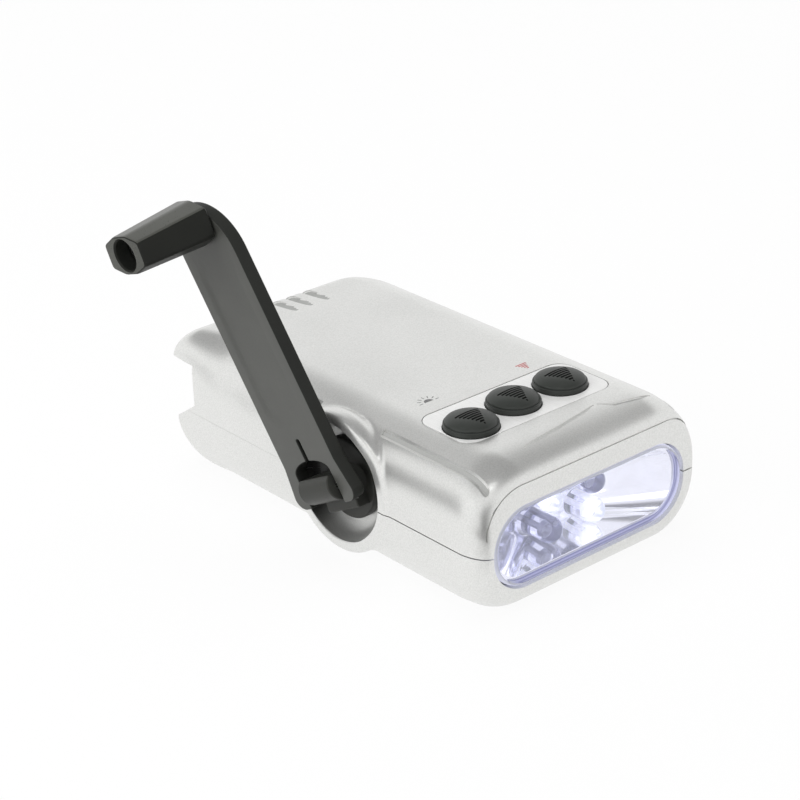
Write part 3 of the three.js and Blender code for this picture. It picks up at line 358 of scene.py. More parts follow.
hub_centre = (0.0, hub_y, hub_z)
disc_face_x = -0.0252
recess_floor_x = -0.0233
cup_back_x = recess_floor_x + case_wall
recess_radius, recess_floor_radius = 0.01165, 0.0083
recess_lip = 0.00035

notch_inner_y, notch_inner_low, notch_inner_high = 0.0388, 0.0146, 0.0232
notch_tip_y, notch_tip_low, notch_tip_high = 0.0454, 0.0102, 0.02375
notch_end_x = -0.013


def notch_outline(grow):
    return [
        (notch_inner_y - grow, notch_inner_low - grow),
        (notch_tip_y, notch_tip_low - grow),
        (notch_tip_y, notch_tip_high + grow),
        (notch_inner_y - grow, notch_inner_high + grow),
    ]


def recess_profile():
    rim, lip = recess_radius + recess_lip, swell_face + recess_lip
    profile = [(0, swell_face - margin), (rim, swell_face - margin), (rim, swell_face)]
    profile += [(rim - recess_lip * sine, lip - recess_lip * cosine) for sine, cosine in quarter(6)]
    wide, deep = recess_radius - recess_floor_radius, recess_floor_x - lip
    for sine, cosine in quarter(14):
        profile.append((recess_floor_radius + wide * cosine, lip + deep * sine))
    return profile + [(0, recess_floor_x)]


screw_spots = ((-0.0207, -0.028), (0.0207, -0.028), (-0.0076, 0.0402), (0.0184, 0.0348))
screw_rises = (0.0, 0.0, 0.0016, 0.0)
lens_centre_z = seam_z - 0.0002
lens_width, lens_height, lens_corner = 0.0473, 0.016, 0.00775
lens_gap = 0.00022
outside_x = -0.03
cup_wall = 0.0006
post_radius, bush_radius = 0.0026, 0.0041

cavity = combine(
    case_form("cavity", case_wall, (8, 1), (8, 1), 8, 9, cavity_step, cavity_step),
    [
        rod("cup", swell_radius - cup_wall, "x", outside_x, cup_back_x, hub_centre),
        prism("pocket_walls", notch_outline(case_wall), "x", outside_x, notch_end_x + case_wall),
    ]
    + [
        rod(f"post_{i}", post_radius, "z", 0.0, case_top, (x, y, 0))
        for i, (x, y) in enumerate(screw_spots)
    ],
)
window = rounded_outline(
    lens_width + 2 * lens_gap, lens_height + 2 * lens_gap, lens_corner, (0, lens_centre_z), 20
)
shells = combine(
    case_form("shells", 0, (20, 10), (50, 44), 30, 34, skin_step, fine_step),
    [
        cavity,
        turned("recess", recess_profile(), "x", hub_centre, 96),
        rod("bush_way", bush_radius, "x", recess_floor_x - margin, cup_back_x + margin, hub_centre),
        prism("knob_pocket", notch_outline(0), "x", outside_x, notch_end_x),
        prism("window", window, "y", case_front - margin, case_front + case_wall + margin),
    ],
)

# The bezel round the window is set off from the upper shell by a fine step
bezel_half, bezel_rise, bezel_corner = 0.0260, 0.01215, 0.0086
bezel_middle = (0.0011, lens_centre_z)
bezel_line, bezel_depth = 0.00026, 0.00025
bezel_reach, bezel_foot = 0.006, 0.0035
beyond = 0.06


def bezel_outline(grow):
    width, height = 2 * (bezel_half + grow), 2 * (bezel_rise + grow)
    return rounded_outline(width, height, bezel_corner + grow, bezel_middle, 24)


bezel_low, bezel_high = case_front - margin, case_front + bezel_reach
bezel_ring = combine(
    prism("bezel_ring", bezel_outline(bezel_line), "y", bezel_low, bezel_high),
    [
        prism("bezel_inner", bezel_outline(0.0), "y", bezel_low - margin, bezel_high + margin),
        box_tool("bezel_lower", (-beyond, -beyond, -beyond), (beyond, 0.0, seam_z + bezel_foot)),
        case_form("bezel_depth", bezel_depth, (14, 6), (14, 6), 20, 8, cutter_step, cutter_step),
    ],
)

# Three tapered grip grooves run in from the rear of the top, and fine creases frame the shoulders
grip_rows = ((0.0042, 0.0057), (-0.0001, 0.0014), (-0.0037, -0.0024))
grip_rear, grip_front = 0.0450, 0.0352
grip_radius, grip_sink = 0.0011, 0.0015
grooves = []
for number, (x_rear, x_front) in enumerate(grip_rows):
    rings = []
    for step in range(13):
        share = step / 12
        x = x_rear + (x_front - x_rear) * share
        y = grip_rear + (grip_front - grip_rear) * share
        drop = float(quarter_inset(np.array(case_rear - y), rear_drop, rear_drop))
        middle = case_top - drop + grip_radius - grip_sink * (1 - share) ** 0.7
        rings.append([(a, y, b) for a, b in arc(x, middle, grip_radius, 0, 345, 23)])
    grooves.append(lofted(f"grip_groove_{number}", rings))

crease_tip = 0.35


def crease(name, path, radius):
    # A thin round tool along a path on the skin, half sunk so that it leaves a fine line
    rings = []
    for i, point in enumerate(path):
        ahead = Vector(path[min(i + 1, len(path) - 1)]) - Vector(path[max(i - 1, 0)])
        ahead.normalize()
        side = ahead.cross(Vector((0, 0, 1))).normalized()
        up = side.cross(ahead)
        size = radius * (crease_tip if i in (0, len(path) - 1) else 1.0)
        ring = arc(0, 0, size, 0, 324, 9)
        rings.append([tuple(Vector(point) + side * a + up * b) for a, b in ring])
    return lofted(name, rings)


def skin_point(x, y):
    # Height of the case's upper skin over a place in plan
    half, low, high, low_r, high_r = (float(v) for v in section_sizes(y, 0.0, x < 0))
    over = max(0.0, abs(x) - half + high_r)
    return (x, y, high - high_r + math.sqrt(max(0.0, high_r**2 - over**2)))


shoulder_runs = {-1: ((-0.0431, -0.0150), (0.0022, 0.0085)), 1: ((-0.0431, 0.0085),)}
channel_x, channel_half, channel_depth = 0.0231, 0.00068, 0.00032
channel_wall_share, channel_tip_share = 0.26, 0.15
lines = []
for side, runs in shoulder_runs.items():
    for part, (y_low, y_high) in enumerate(runs):
        rings = []
        for i in range(49):
            share = i / 48
            y = y_low + (y_high - y_low) * share * share * (2 - share)
            tip = min(1.0, (y - y_low) / channel_half)
            reach = channel_half * max(channel_tip_share, math.sqrt(1 - (1 - tip) ** 2))
            near, far = (
                Vector(skin_point(side * (channel_x + turn * reach), y)) for turn in (-1, 1)
            )
            out = Vector((near.z - far.z, 0, far.x - near.x)).normalized() * side
            wall, lift = (far - near) * channel_wall_share, out * channel_half
            sink = out * channel_depth
            ring = (near + lift, near, near + wall - sink, far - wall - sink, far, far + lift)
            rings.append([tuple(point) for point in ring])
        lines.append(lofted(f"shoulder_channel_{side}_{part}", rings))
chevron_radius = 0.00040
chevrons = {
    "chevron_long": (
        (-0.0120, -0.0402), (-0.0086, -0.0397), (-0.0019, -0.0389), (0.0053, -0.0378),
        (0.0084, -0.0370),
    ),
    "chevron_short": ((0.0092, -0.0371), (0.0115, -0.0391), (0.0172, -0.0402), (0.0200, -0.0400)),
}
for name, spots in chevrons.items():
    lines.append(crease(name, [skin_point(x, y) for x, y in spots], chevron_radius))
combine(shells, [bezel_ring] + grooves + lines)

closed_x, closed_from = -0.0215, 0.004


def seam_tools(name, side):
    # The joint opens to a fine line, but closes up behind the crank on its side of the case
    tools = []
    for part, (low, high, gap) in enumerate((
        ((-beyond, -beyond), (beyond, hub_y + closed_from), seam_gap),
        ((closed_x, -beyond), (beyond, beyond), seam_gap),
        ((-beyond, -beyond), (beyond, beyond), seam_closed),
    )):
        near, far = seam_z + side * gap / 2, seam_z - side * beyond
        tools.append(box_tool(f"{name}_{part}", (*low, min(near, far)), (*high, max(near, far))))
    return tools


sink_radius, sink_mouth, sink_edge, sink_depth = 0.0022, 0.0024, 0.0002, 0.003
screw_way_radius, screw_way_end = 0.0011, 0.0125
lower_shell = copy_of(shells, "lower_shell_form")
tools = seam_tools("above_seam", -1)
for i, ((x, y), rise) in enumerate(zip(screw_spots, screw_rises)):
    sink = [(0, -margin), (sink_mouth, -margin), (sink_mouth, 0.0), (sink_radius, sink_edge),
            (sink_radius, sink_depth + rise), (0, sink_depth + rise)]
    tools.append(turned(f"sink_{i}", sink, "z", (x, y, 0), 40))
    tools.append(rod(f"screw_way_{i}", screw_way_radius, "z", 0.0, screw_way_end, (x, y, 0), 24))
combine(lower_shell, tools)

panel_width, panel_length, panel_corner = 0.0363, 0.0145, 0.0032
panel_centre = (-0.0005, -0.0262)
panel_gap, panel_depth = 0.00015, 0.00085
key_spots = ((-0.0132, -0.02795), (-0.0014, -0.02635), (0.0104, -0.02635))
key_radius, key_hole_radius, key_way_depth = 0.00515, 0.0053, 0.004
seat_width, seat_length = panel_width + 2 * panel_gap, panel_length + 2 * panel_gap
seat = rounded_outline(seat_width, seat_length, panel_corner + panel_gap, panel_centre)
tools = seam_tools("below_seam", 1)
tools.append(prism("panel_seat", seat, "z", case_top - panel_depth, case_top + margin))
for i, (x, y) in enumerate(key_spots):
    low, high = case_top - key_way_depth, case_top + margin
    tools.append(rod(f"key_way_{i}", key_hole_radius, "z", low, high, (x, y, 0)))
upper_shell = combine(shells, tools)
upper_shell.name = "upper_shell_form"


def blank_material(name):
    material = bpy.data.materials.new(name)
    material.use_nodes = True
    tree = material.node_tree
    shader = next(n for n in tree.nodes if n.type == "BSDF_PRINCIPLED")
    place = tree.nodes.new("ShaderNodeTexCoord")
    return material, tree, shader, place.outputs["Object"]


def noise(tree, place, scale, detail=2.0, roughness=0.5):
    node = tree.nodes.new("ShaderNodeTexNoise")
    node.inputs["Scale"].default_value = scale
    node.inputs["Detail"].default_value = detail
    node.inputs["Roughness"].default_value = roughness
    tree.links.new(place, node.inputs["Vector"])
    return node.outputs["Fac"]


def ranged(tree, value, start, end, low=0.0, high=1.0, eased=False):
    node = tree.nodes.new("ShaderNodeMapRange")
    if eased:
        node.interpolation_type = "SMOOTHSTEP"
    node.inputs["From Min"].default_value = start
    node.inputs["From Max"].default_value = end
    node.inputs["To Min"].default_value = low
    node.inputs["To Max"].default_value = high
    tree.links.new(value, node.inputs["Value"])
    return node.outputs["Result"]


def spread(tree, value, low=0.0, high=1.0):
    # The middle of a noise, where nearly all of its values lie, is drawn out to the full range
    return ranged(tree, value, 0.3, 0.7, low, high)


def axis_value(tree, place, axis):
    node = tree.nodes.new("ShaderNodeSeparateXYZ")
    tree.links.new(place, node.inputs[0])
    return node.outputs[axis]


def tint(tree, value, low, high):
    node = tree.nodes.new("ShaderNodeMix")
    node.data_type = "RGBA"
    node.inputs[6].default_value = (*low, 1)
    node.inputs[7].default_value = (*high, 1)
    tree.links.new(value, node.inputs[0])
    return node.outputs[2]


def coloured(tree, shader, value, low, high):
    tree.links.new(tint(tree, value, low, high), shader.inputs["Base Color"])


def polished(tree, shader, value, low, high):
    tree.links.new(spread(tree, value, low, high), shader.inputs["Roughness"])


def bump(tree, shader, height, strength, distance):
    node = tree.nodes.new("ShaderNodeBump")
    node.inputs["Strength"].default_value = strength
    node.inputs["Distance"].default_value = distance
    tree.links.new(height, node.inputs["Height"])
    tree.links.new(node.outputs["Normal"], shader.inputs["Normal"])


paint_grain, moulded_grain, lens_wave = 0.00005, 0.00006, 0.0002
shade_start_y, shade_end_y = hub_y + 0.003, hub_y + 0.009


def silver_paint():
    material, tree, shader, place = blank_material("silver_paint")
    flake = noise(tree, place, 3600.0, 3.0, 0.7)
    coloured(tree, shader, spread(tree, flake), (0.70, 0.705, 0.685), (0.86, 0.86, 0.845))
    polished(tree, shader, noise(tree, place, 55.0, 3.0), 0.30, 0.37)
    shader.inputs["Metallic"].default_value = 0.78
    shader.inputs["Coat Weight"].default_value = 0.25
    shader.inputs["Coat Roughness"].default_value = 0.18
    bump(tree, shader, flake, 0.06, paint_grain)
    return material


def recess_painted_shade():
    # The same paint, darkened in the bowl round the crank as painted shade, and darkened to near
    # black behind its hinge as a painted shadow
    material, tree, shader, place = blank_material("recess_painted_shade")
    flake = noise(tree, place, 5200.0, 3.0, 0.7)
    shade = ranged(tree, axis_value(tree, place, "Y"), shade_start_y, shade_end_y, eased=True)
    grey = tint(tree, spread(tree, flake), (0.64, 0.645, 0.63), (0.76, 0.76, 0.745))
    dark = tree.nodes.new("ShaderNodeMix")
    dark.data_type = "RGBA"
    dark.inputs[7].default_value = (0.035, 0.036, 0.034, 1)
    tree.links.new(shade, dark.inputs[0])
    tree.links.new(grey, dark.inputs[6])
    tree.links.new(dark.outputs[2], shader.inputs["Base Color"])
    shader.inputs["Roughness"].default_value = 0.36
    shader.inputs["Metallic"].default_value = 0.78
    bump(tree, shader, flake, 0.05, paint_grain)
    return material


def line_shade():
    # Painted shade in the floors of the fine channels and grooves, a darker grey than the silver
    # round them
    material, tree, shader, place = blank_material("line_shade")
    speck = noise(tree, place, 3000.0, 3.0)
    coloured(tree, shader, speck, (0.40, 0.405, 0.395), (0.50, 0.505, 0.49))
    shader.inputs["Roughness"].default_value = 0.55
    shader.inputs["Metallic"].default_value = 0.3
    return material


channel_end = 0.0090
grip_low_x, grip_high_x = -0.006, 0.007
shade_reach, channel_sunk, grip_sunk, most_sunk = 0.008, 0.00031, 0.00018, 0.0017


def in_shade(face):
    # True for the floors of the shoulder channels and of the grip grooves
    spot = face.center
    channel = abs(abs(spot.x) - channel_x) < channel_half and case_front < spot.y < channel_end
    grip = grip_low_x < spot.x < grip_high_x and grip_front < spot.y < case_rear
    if not (channel or grip) or spot.z < case_top - shade_reach:
        return False
    sunk = skin_point(spot.x, spot.y)[2] - spot.z
    return (channel_sunk if channel else grip_sunk) < sunk < most_sunk and face.normal.z > 0.3


def in_bowl(face):
    # True for the skin of the round recess behind the crank
    out = math.hypot(face.center.y - hub_y, face.center.z - hub_z)
    return swell_face + bowl_edge < face.center.x < cup_back_x and out < recess_radius + bowl_slack


bowl_edge, bowl_slack = 0.0002, 0.00005
paint, bowl_painted_shade, shade_paint = silver_paint(), recess_painted_shade(), line_shade()
for shell, node in ((upper_shell, "upper_shell"), (lower_shell, "lower_shell")):
    dress(shell, paint)
    shell.data.materials.append(bowl_painted_shade)
    shell.data.materials.append(shade_paint)
    for face in shell.data.polygons:
        if in_shade(face):
            face.material_index = 2
        # The bowl's faces take the paint with the painted shade
        if in_bowl(face):
            face.material_index = 1
    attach(shell, "case")
    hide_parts(node)

# Printed signs
# Two small signs of plain shape are pad-printed in ink on the paint behind the keys: a lamp with
# rays in grey, and a red wedge of stripes that points to the lens.
ink_low, ink_high = case_top - 0.00004, case_top + 0.000008


def sign(name, outlines, dark, light):
    pieces = [prism(f"{name}_{i}", line, "z", ink_low, ink_high) for i, line in enumerate(outlines)]
    made = combine(pieces[0], pieces[1:], "UNION")
    made.name = name
    material, tree, shader, place = blank_material(name)
    coloured(tree, shader, spread(tree, noise(tree, place, 4000.0, 3.0)), dark, light)
    shader.inputs["Roughness"].default_value = 0.5
    dress(made, material, 40)
    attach(made, "case")


def turned_box(centre, angle, near, far, half):
    cosine, sine = math.cos(angle), math.sin(angle)
    return [
        (centre[0] + cosine * reach - sine * wide, centre[1] + sine * reach + cosine * wide)
        for reach, wide in ((near, -half), (far, -half), (far, half), (near, half))
    ]


lamp_x, lamp_y, lamp_radius = -0.0118, -0.0150, 0.0010
ray_near, ray_far, ray_half = 0.0015, 0.0023, 0.00009
bulb = arc(lamp_x, lamp_y, lamp_radius, 0, 180, 12)
rays = [
    turned_box((lamp_x, lamp_y), math.radians(turn), ray_near, ray_far, ray_half)
    for turn in range(0, 181, 30)
]
sign("lamp_print", [bulb] + rays, (0.12, 0.12, 0.12), (0.20, 0.20, 0.20))
wedge_x, wedge_y, wedge_half = 0.0112, -0.0149, 0.0013
stripe_count, stripe_pitch, stripe_half = 5, 0.0005, 0.00013
stripes = []
for i in range(stripe_count):
    half = wedge_half * (1 - i / stripe_count)
    stripes.append(turned_box((wedge_x, wedge_y - stripe_pitch * i), 0.0, -half, half, stripe_half))
sign("wedge_print", stripes, (0.42, 0.05, 0.06), (0.55, 0.10, 0.10))

# Lens
# The window is one clear moulding: a thick plate with a rounded edge and a short skirt behind it.
# It drops into the opening of both shells and is held there by a thin flange.
lens_sink, lens_plate, lens_depth = 0.00012, 0.002, 0.0046
lens_skirt, lens_round, lens_edge_share = 0.0008, 0.0009, 0.8
lens_front_y = case_front + lens_sink
lens_back_y = lens_front_y + lens_plate
lens_end_y = lens_back_y + lens_depth


def window_ring(y, inset, steps=16):
    width, height = lens_width - 2 * inset, lens_height - 2 * inset
    outline = rounded_outline(width, height, lens_corner - inset, (0, lens_centre_z), steps)
    return [(x, y, z) for x, z in outline]


lens_rings = [
    window_ring(lens_front_y + lens_round * (1 - sine), lens_round * (1 - cosine))
    for sine, cosine in reversed(quarter(6))
]
lens_rings += [window_ring(lens_front_y + lens_round, 0), window_ring(lens_end_y, 0)]
hollow_rings = [window_ring(lens_back_y, lens_skirt), window_ring(lens_end_y + margin, lens_skirt)]
lens = combine(lofted("front_lens_form", lens_rings), [lofted("lens_hollow", hollow_rings)])
material, tree, shader, place = blank_material("clear_lens")
shader.inputs["Base Color"].default_value = (0.93, 0.935, 1.0, 1)
shader.inputs["Transmission Weight"].default_value = 1.0
shader.inputs["IOR"].default_value = 1.46
polished(tree, shader, noise(tree, place, 120.0), 0.0, 0.03)
bump(tree, shader, noise(tree, place, 90.0), 0.02, lens_wave)
dress(lens, material, 40)
# The rounded edge of the lens is painted with light: bands of light and dark along its depth are
# painted reflections, and it glows in the same colours
material, tree, shader, place = blank_material("lens_edge")
depth = ranged(tree, axis_value(tree, place, "Y"), lens_front_y, lens_end_y)
ramp = tree.nodes.new("ShaderNodeValToRGB")
tree.links.new(depth, ramp.inputs[0])
painted_reflection_bands = (
    (0.0, (0.30, 0.31, 0.36)), (0.07, (0.80, 0.81, 0.93)), (0.28, (0.74, 0.75, 0.96)),
    (0.42, (0.26, 0.27, 0.50)), (0.55, (0.66, 0.67, 0.92)), (1.0, (0.88, 0.89, 0.98)),
)
while len(ramp.color_ramp.elements) < len(painted_reflection_bands):
    ramp.color_ramp.elements.new(0.5)
for element, (at, color) in zip(ramp.color_ramp.elements, painted_reflection_bands):
    element.position = at
    element.color = (*color, 1)
tree.links.new(ramp.outputs[0], shader.inputs["Base Color"])
tree.links.new(ramp.outputs[0], shader.inputs["Emission Color"])
polished(tree, shader, noise(tree, place, 700.0, 3.0), 0.12, 0.20)
shader.inputs["Transmission Weight"].default_value = 0.25
shader.inputs["IOR"].default_value = 1.46
shader.inputs["Emission Strength"].default_value = 0.42
lens.data.materials.append(material)
edge_half, edge_rise, edge_corner = (
    size - lens_round * lens_edge_share for size in (lens_width / 2, lens_height / 2, lens_corner)
)
for face in lens.data.polygons:
    across = max(0.0, abs(face.center.x) - edge_half + edge_corner)
    up = max(0.0, abs(face.center.z - lens_centre_z) - edge_rise + edge_corner)
    if math.hypot(across, up) > edge_corner:
        face.material_index = 1
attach(lens, "case")
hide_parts("front_lens")

# Reflector
# A plastic tray with a vacuum-deposited mirror coat. Its short walls slope in towards the
# light-emitting diodes, whose bases stand in round holes in its floor.
horn_gap, horn_wall, horn_flare = 0.0001, 0.0006, 0.003
horn_front_y, horn_back_y = lens_back_y + horn_gap, -0.03405
horn_width, horn_height, horn_corner = 0.0451, 0.0138, 0.0060
floor_width, floor_height, floor_corner = 0.018, 0.0117, 0.0030
led_pitch_x, led_pitch_z, led_hole_radius = 0.0054, 0.00305, 0.0026
led_spots = [
    (across * led_pitch_x, lens_centre_z + up * led_pitch_z) for across in (-1, 1) for up in (-1, 1)
]


def horn_ring(y, size, grow, flare=0.0):
    width, height, corner = size
    outline = rounded_outline(
        width + 2 * grow + flare, height + 2 * grow, corner + grow, (0, lens_centre_z), 10
    )
    return [(x, y, z) for x, z in outline]


mouth = (horn_width, horn_height, horn_corner)
tray_floor = (floor_width, floor_height, floor_corner)
tray_rings = [
    horn_ring(horn_front_y, mouth, 0.0),
    horn_ring(horn_back_y, tray_floor, horn_wall),
    horn_ring(horn_back_y + horn_wall, tray_floor, horn_wall),
]
hollow_rings = [
    horn_ring(horn_front_y - margin, mouth, -horn_wall, horn_flare),
    horn_ring(horn_front_y, mouth, -horn_wall),
    horn_ring(horn_back_y, tray_floor, 0.0),
]
tools = [lofted("horn_hollow", hollow_rings)]
for i, (x, z) in enumerate(led_spots):
    low, high = horn_back_y - horn_gap, horn_back_y + 2 * horn_wall
    tools.append(rod(f"led_way_{i}", led_hole_radius, "y", low, high, (x, 0, z)))
mirror = combine(lofted("reflector_form", tray_rings), tools)
material, tree, shader, place = blank_material("mirror_coat")
coloured(tree, shader, noise(tree, place, 400.0), (0.90, 0.90, 0.90), (0.96, 0.96, 0.95))
polished(tree, shader, noise(tree, place, 60.0), 0.05, 0.10)
shader.inputs["Metallic"].default_value = 1.0
# A faint blue glow on the mirror coat is painted light
shader.inputs["Emission Color"].default_value = (0.80, 0.82, 0.90, 1)
shader.inputs["Emission Strength"].default_value = 0.10
dress(mirror, material, 30)
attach(mirror, "case")
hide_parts("reflector")

# Light-emitting diodes
# Four clear 5 mm epoxy bodies, each with a steel cup and post inside. Two of them are lit.
led_tip_y, led_base_y = -0.0412, -0.0326
led_radius, led_flange_radius, led_flange = 0.0025, 0.0029, 0.0008
glow_start, glow_end, glow_tip, glow_foot = 0.0006, 0.0042, 0.56, 0.06


def led_glass(name, lit):
    material, tree, shader, place = blank_material(name)
    shader.inputs["Base Color"].default_value = (0.86, 0.87, 1.0, 1)
    shader.inputs["Transmission Weight"].default_value = 0.9
    shader.inputs["IOR"].default_value = 1.5
    polished(tree, shader, noise(tree, place, 900.0), 0.02, 0.08)
    if lit:
        depth = axis_value(tree, place, "Y")
        start, end = led_tip_y + glow_start, led_tip_y + glow_end
        fall = ranged(tree, depth, start, end, glow_tip, glow_foot)
        tree.links.new(fall, shader.inputs["Emission Strength"])
        shader.inputs["Emission Color"].default_value = (0.86, 0.88, 1.0, 1)
    else:
        # A faint blue glow on an unlit body is painted light
        shader.inputs["Emission Color"].default_value = (0.36, 0.37, 0.58, 1)
        shader.inputs["Emission Strength"].default_value = 0.12
    return material


led_lit, led_unlit = led_glass("led_lit", True), led_glass("led_unlit", False)
cup_unlit, tree, shader, place = blank_material("led_frame_metal")
coloured(tree, shader, noise(tree, place, 2500.0), (0.30, 0.31, 0.36), (0.55, 0.56, 0.60))
shader.inputs["Metallic"].default_value = 0.9
shader.inputs["Roughness"].default_value = 0.35
cup_lit, tree, shader, place = blank_material("led_cup_lit")
glow = noise(tree, place, 1500.0, 2.0)
coloured(tree, shader, glow, (0.82, 0.84, 0.95), (1.0, 1.0, 1.0))
shader.inputs["Emission Color"].default_value = (0.93, 0.94, 1.0, 1)
tree.links.new(spread(tree, glow, 0.35, 0.60), shader.inputs["Emission Strength"])

cup_radius, cup_stem_radius, cup_wall_depth, cup_offset = 0.0010, 0.0004, 0.0010, -0.0004
cup_set, cup_hollow, cup_rim, stem_start = 0.0026, 0.0004, 0.0008, 0.0012
post_offset, led_post_radius, post_drop, foot_gap = 0.0012, 0.0003, 0.0003, 0.0003
cup_y, foot_y, flange_y = led_tip_y + cup_set, led_base_y - foot_gap, led_base_y - led_flange
cup_profile = [
    (0, cup_y + cup_hollow), (cup_stem_radius, cup_y + cup_hollow), (cup_rim, cup_y),
    (cup_radius, cup_y), (cup_radius, cup_y + cup_wall_depth),
    (cup_stem_radius, cup_y + stem_start), (cup_stem_radius, foot_y), (0, foot_y),
]
glass_profile = [(0, led_tip_y)]
glass_profile += [
    (led_radius * sine, led_tip_y + led_radius * (1 - cosine)) for sine, cosine in quarter(12)
]
glass_profile += [(led_radius, flange_y), (led_flange_radius, flange_y),
                  (led_flange_radius, led_base_y), (0, led_base_y)]
for number, (x, z) in enumerate(led_spots, 1):
    lit = number in (2, 3)
    led = turned(f"led_{number}_form", glass_profile, "y", (x, 0, z), 40)
    dress(led, led_lit if lit else led_unlit, 30)
    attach(led, "case")
    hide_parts(f"led_{number}")
    cup = turned(f"led_{number}_cup", cup_profile, "y", (x + cup_offset, 0, z), 20)
    beside = (x + post_offset, 0, z)
    post = rod(f"led_{number}_post", led_post_radius, "y", cup_y + post_drop, foot_y, beside, 12)
    for metal in (cup, post):
        dress(metal, cup_lit if lit else cup_unlit, 40)
        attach(metal, "case")

# Key panel
# A thin pale insert with a fine brushed finish lies in a shallow seat in the upper shell.
panel_low, panel_high, panel_edge = case_top - 0.0008, case_top - 0.00002, 0.00012


def soften(piece, width, segments, degrees):
    # Rounds the edges that turn by more than the given angle
    edge = piece.modifiers.new("edge", "BEVEL")
    edge.width = width
    edge.segments = segments
    edge.limit_method = "ANGLE"
    edge.angle_limit = math.radians(degrees)
    return settle(piece)


outline = rounded_outline(panel_width, panel_length, panel_corner, panel_centre, 16)
low, high = panel_low - margin, panel_high + margin
key_panel = combine(
    prism("key_panel_form", outline, "z", panel_low, panel_high),
    [
        rod(f"panel_hole_{i}", key_hole_radius, "z", low, high, (x, y, 0), 72)
        for i, (x, y) in enumerate(key_spots)
    ],
)
soften(key_panel, panel_edge, 2, 60)
material, tree, shader, place = blank_material("brushed_panel")
stretch = tree.nodes.new("ShaderNodeMapping")
stretch.inputs["Scale"].default_value = (9000.0, 260.0, 260.0)
tree.links.new(place, stretch.inputs["Vector"])
brush = noise(tree, stretch.outputs["Vector"], 1.0, 3.0, 0.7)
coloured(tree, shader, spread(tree, brush), (0.80, 0.80, 0.79), (0.93, 0.93, 0.92))
polished(tree, shader, brush, 0.36, 0.5)
shader.inputs["Metallic"].default_value = 0.25
bump(tree, shader, brush, 0.06, paint_grain)
dress(key_panel, material, 30)
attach(key_panel, "case")
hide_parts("key_panel")

# Keys
# Three moulded rubber keys with a thin rim and a shallow crown. A triangle of eight fine grooves
# is moulded in each crown and points to the lens.
key_foot_z, key_foot_radius = 0.0246, 0.0018
key_flange_radius, key_flange_low, key_flange_high = 0.0057, 0.02615, 0.02695
crown_z, crown_foot_z, crown_radius = case_top + 0.0024, case_top + 0.00105, key_radius - 0.0003
rim_z, rim_round, rim_step_z = case_top + 0.00075, 0.0002, case_top + 0.00092
mark_width, mark_tip, mark_length = 0.0053, 0.0003, 0.0048
mark_lines, mark_start = 8, 0.0012
mark_depth, mark_half = 0.0005, 0.00022
mark_reach, mark_sunk = 0.0036, 0.00015


def key_profile(drop):
    profile = [
        (0, key_foot_z), (key_foot_radius, key_foot_z), (key_foot_radius, key_flange_low),
        (key_flange_radius, key_flange_low), (key_flange_radius, key_flange_high),
        (key_radius, key_flange_high), (key_radius, rim_z),
    ]
    for sine, cosine in quarter(4):
        profile.append((key_radius - rim_round * (1 - cosine), rim_z + rim_round * sine))
    profile += [(crown_radius, rim_step_z), (crown_radius, crown_foot_z)]
    for sine, cosine in quarter(20)[:-1]:
        profile.append((crown_radius * cosine, crown_foot_z + (crown_z - crown_foot_z) * sine))
    profile.append((0, crown_z))
    return [(radius, height - drop) for radius, height in profile]


def crown_height(radius):
    # Height of the key's crown at a distance from its middle
    share = min(1.0, radius / crown_radius)
    return crown_foot_z + (crown_z - crown_foot_z) * math.sqrt(1 - share * share)


rubber, tree, shader, place = blank_material("key_rubber")
grain = noise(tree, place, 3500.0, 3.0)
coloured(tree, shader, noise(tree, place, 260.0), (0.026, 0.029, 0.026), (0.038, 0.042, 0.038))
polished(tree, shader, grain, 0.36, 0.46)
bump(tree, shader, grain, 0.08, moulded_grain)
shader.inputs["Specular IOR Level"].default_value = 0.38
groove_shade, tree, shader, place = blank_material("key_groove_shade")
coloured(tree, shader, noise(tree, place, 900.0), (0.008, 0.009, 0.008), (0.014, 0.015, 0.014))
shader.inputs["Roughness"].default_value = 0.7
for number, (x, y) in enumerate(key_spots, 1):
    key = turned(f"key_{number}_form", key_profile(0.0), "z", (x, y, 0), 72)
    marks = []
    for line in range(mark_lines):
        share = line / (mark_lines - 1)
        half = (mark_width * (1 - share) + mark_tip) / 2
        line_y = y + mark_start - mark_length * share
        low = (x - half, line_y - mark_half, case_top)
        high = (x + half, line_y + mark_half, crown_z + margin)
        marks.append(box_tool(f"mark_{number}_{line}", low, high))
    groove_tool = combine(marks[0], marks[1:], "UNION")
    combine(groove_tool, [turned("under_crown", key_profile(mark_depth), "z", (x, y, 0), 72)])
    combine(key, [groove_tool])
    dress(key, rubber)
    key.data.materials.append(groove_shade)
    for face in key.data.polygons:
        out = math.hypot(face.center.x - x, face.center.y - y)
        if out < mark_reach and case_top < face.center.z < crown_height(out) - mark_sunk:
            face.material_index = 1
    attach(key, f"key_{number}")
    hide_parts(f"key_{number}")

# Crank hub
# A black glass-filled nylon moulding: a round disc, a square neck and a barrel for the hinge pin.
# Its shaft runs in a bush and carries the first gear inside the case.
arm_turn = math.radians(27.4)
arm_lean = math.radians(7.14)
hinge_x = -0.02997
spun_frame = Matrix.Translation((0, hub_y, hub_z)) @ Matrix.Rotation(-arm_turn, 4, "X")
arm_frame = spun_frame @ Matrix.Translation((hinge_x, 0, 0)) @ Matrix.Rotation(-arm_lean, 4, "Y")
origin = (0.0, 0.0, 0.0)
disc_radius, disc_back_x, disc_edge_x = 0.008, disc_face_x + 0.0016, disc_face_x + 0.00035
disc_flat_radius, disc_step_radius, disc_step_x = 0.0076, 0.00785, disc_face_x + 0.0001
shaft_radius, shaft_end_x = 0.002, -0.0101
tongue_radius, tongue_half, tongue_top = 0.003, 0.005, 0.0022
neck_drop, neck_x, neck_root_x, neck_edge = 0.0054, -0.02802, disc_face_x + 0.0005, 0.0003
pin_way_radius = 0.0011
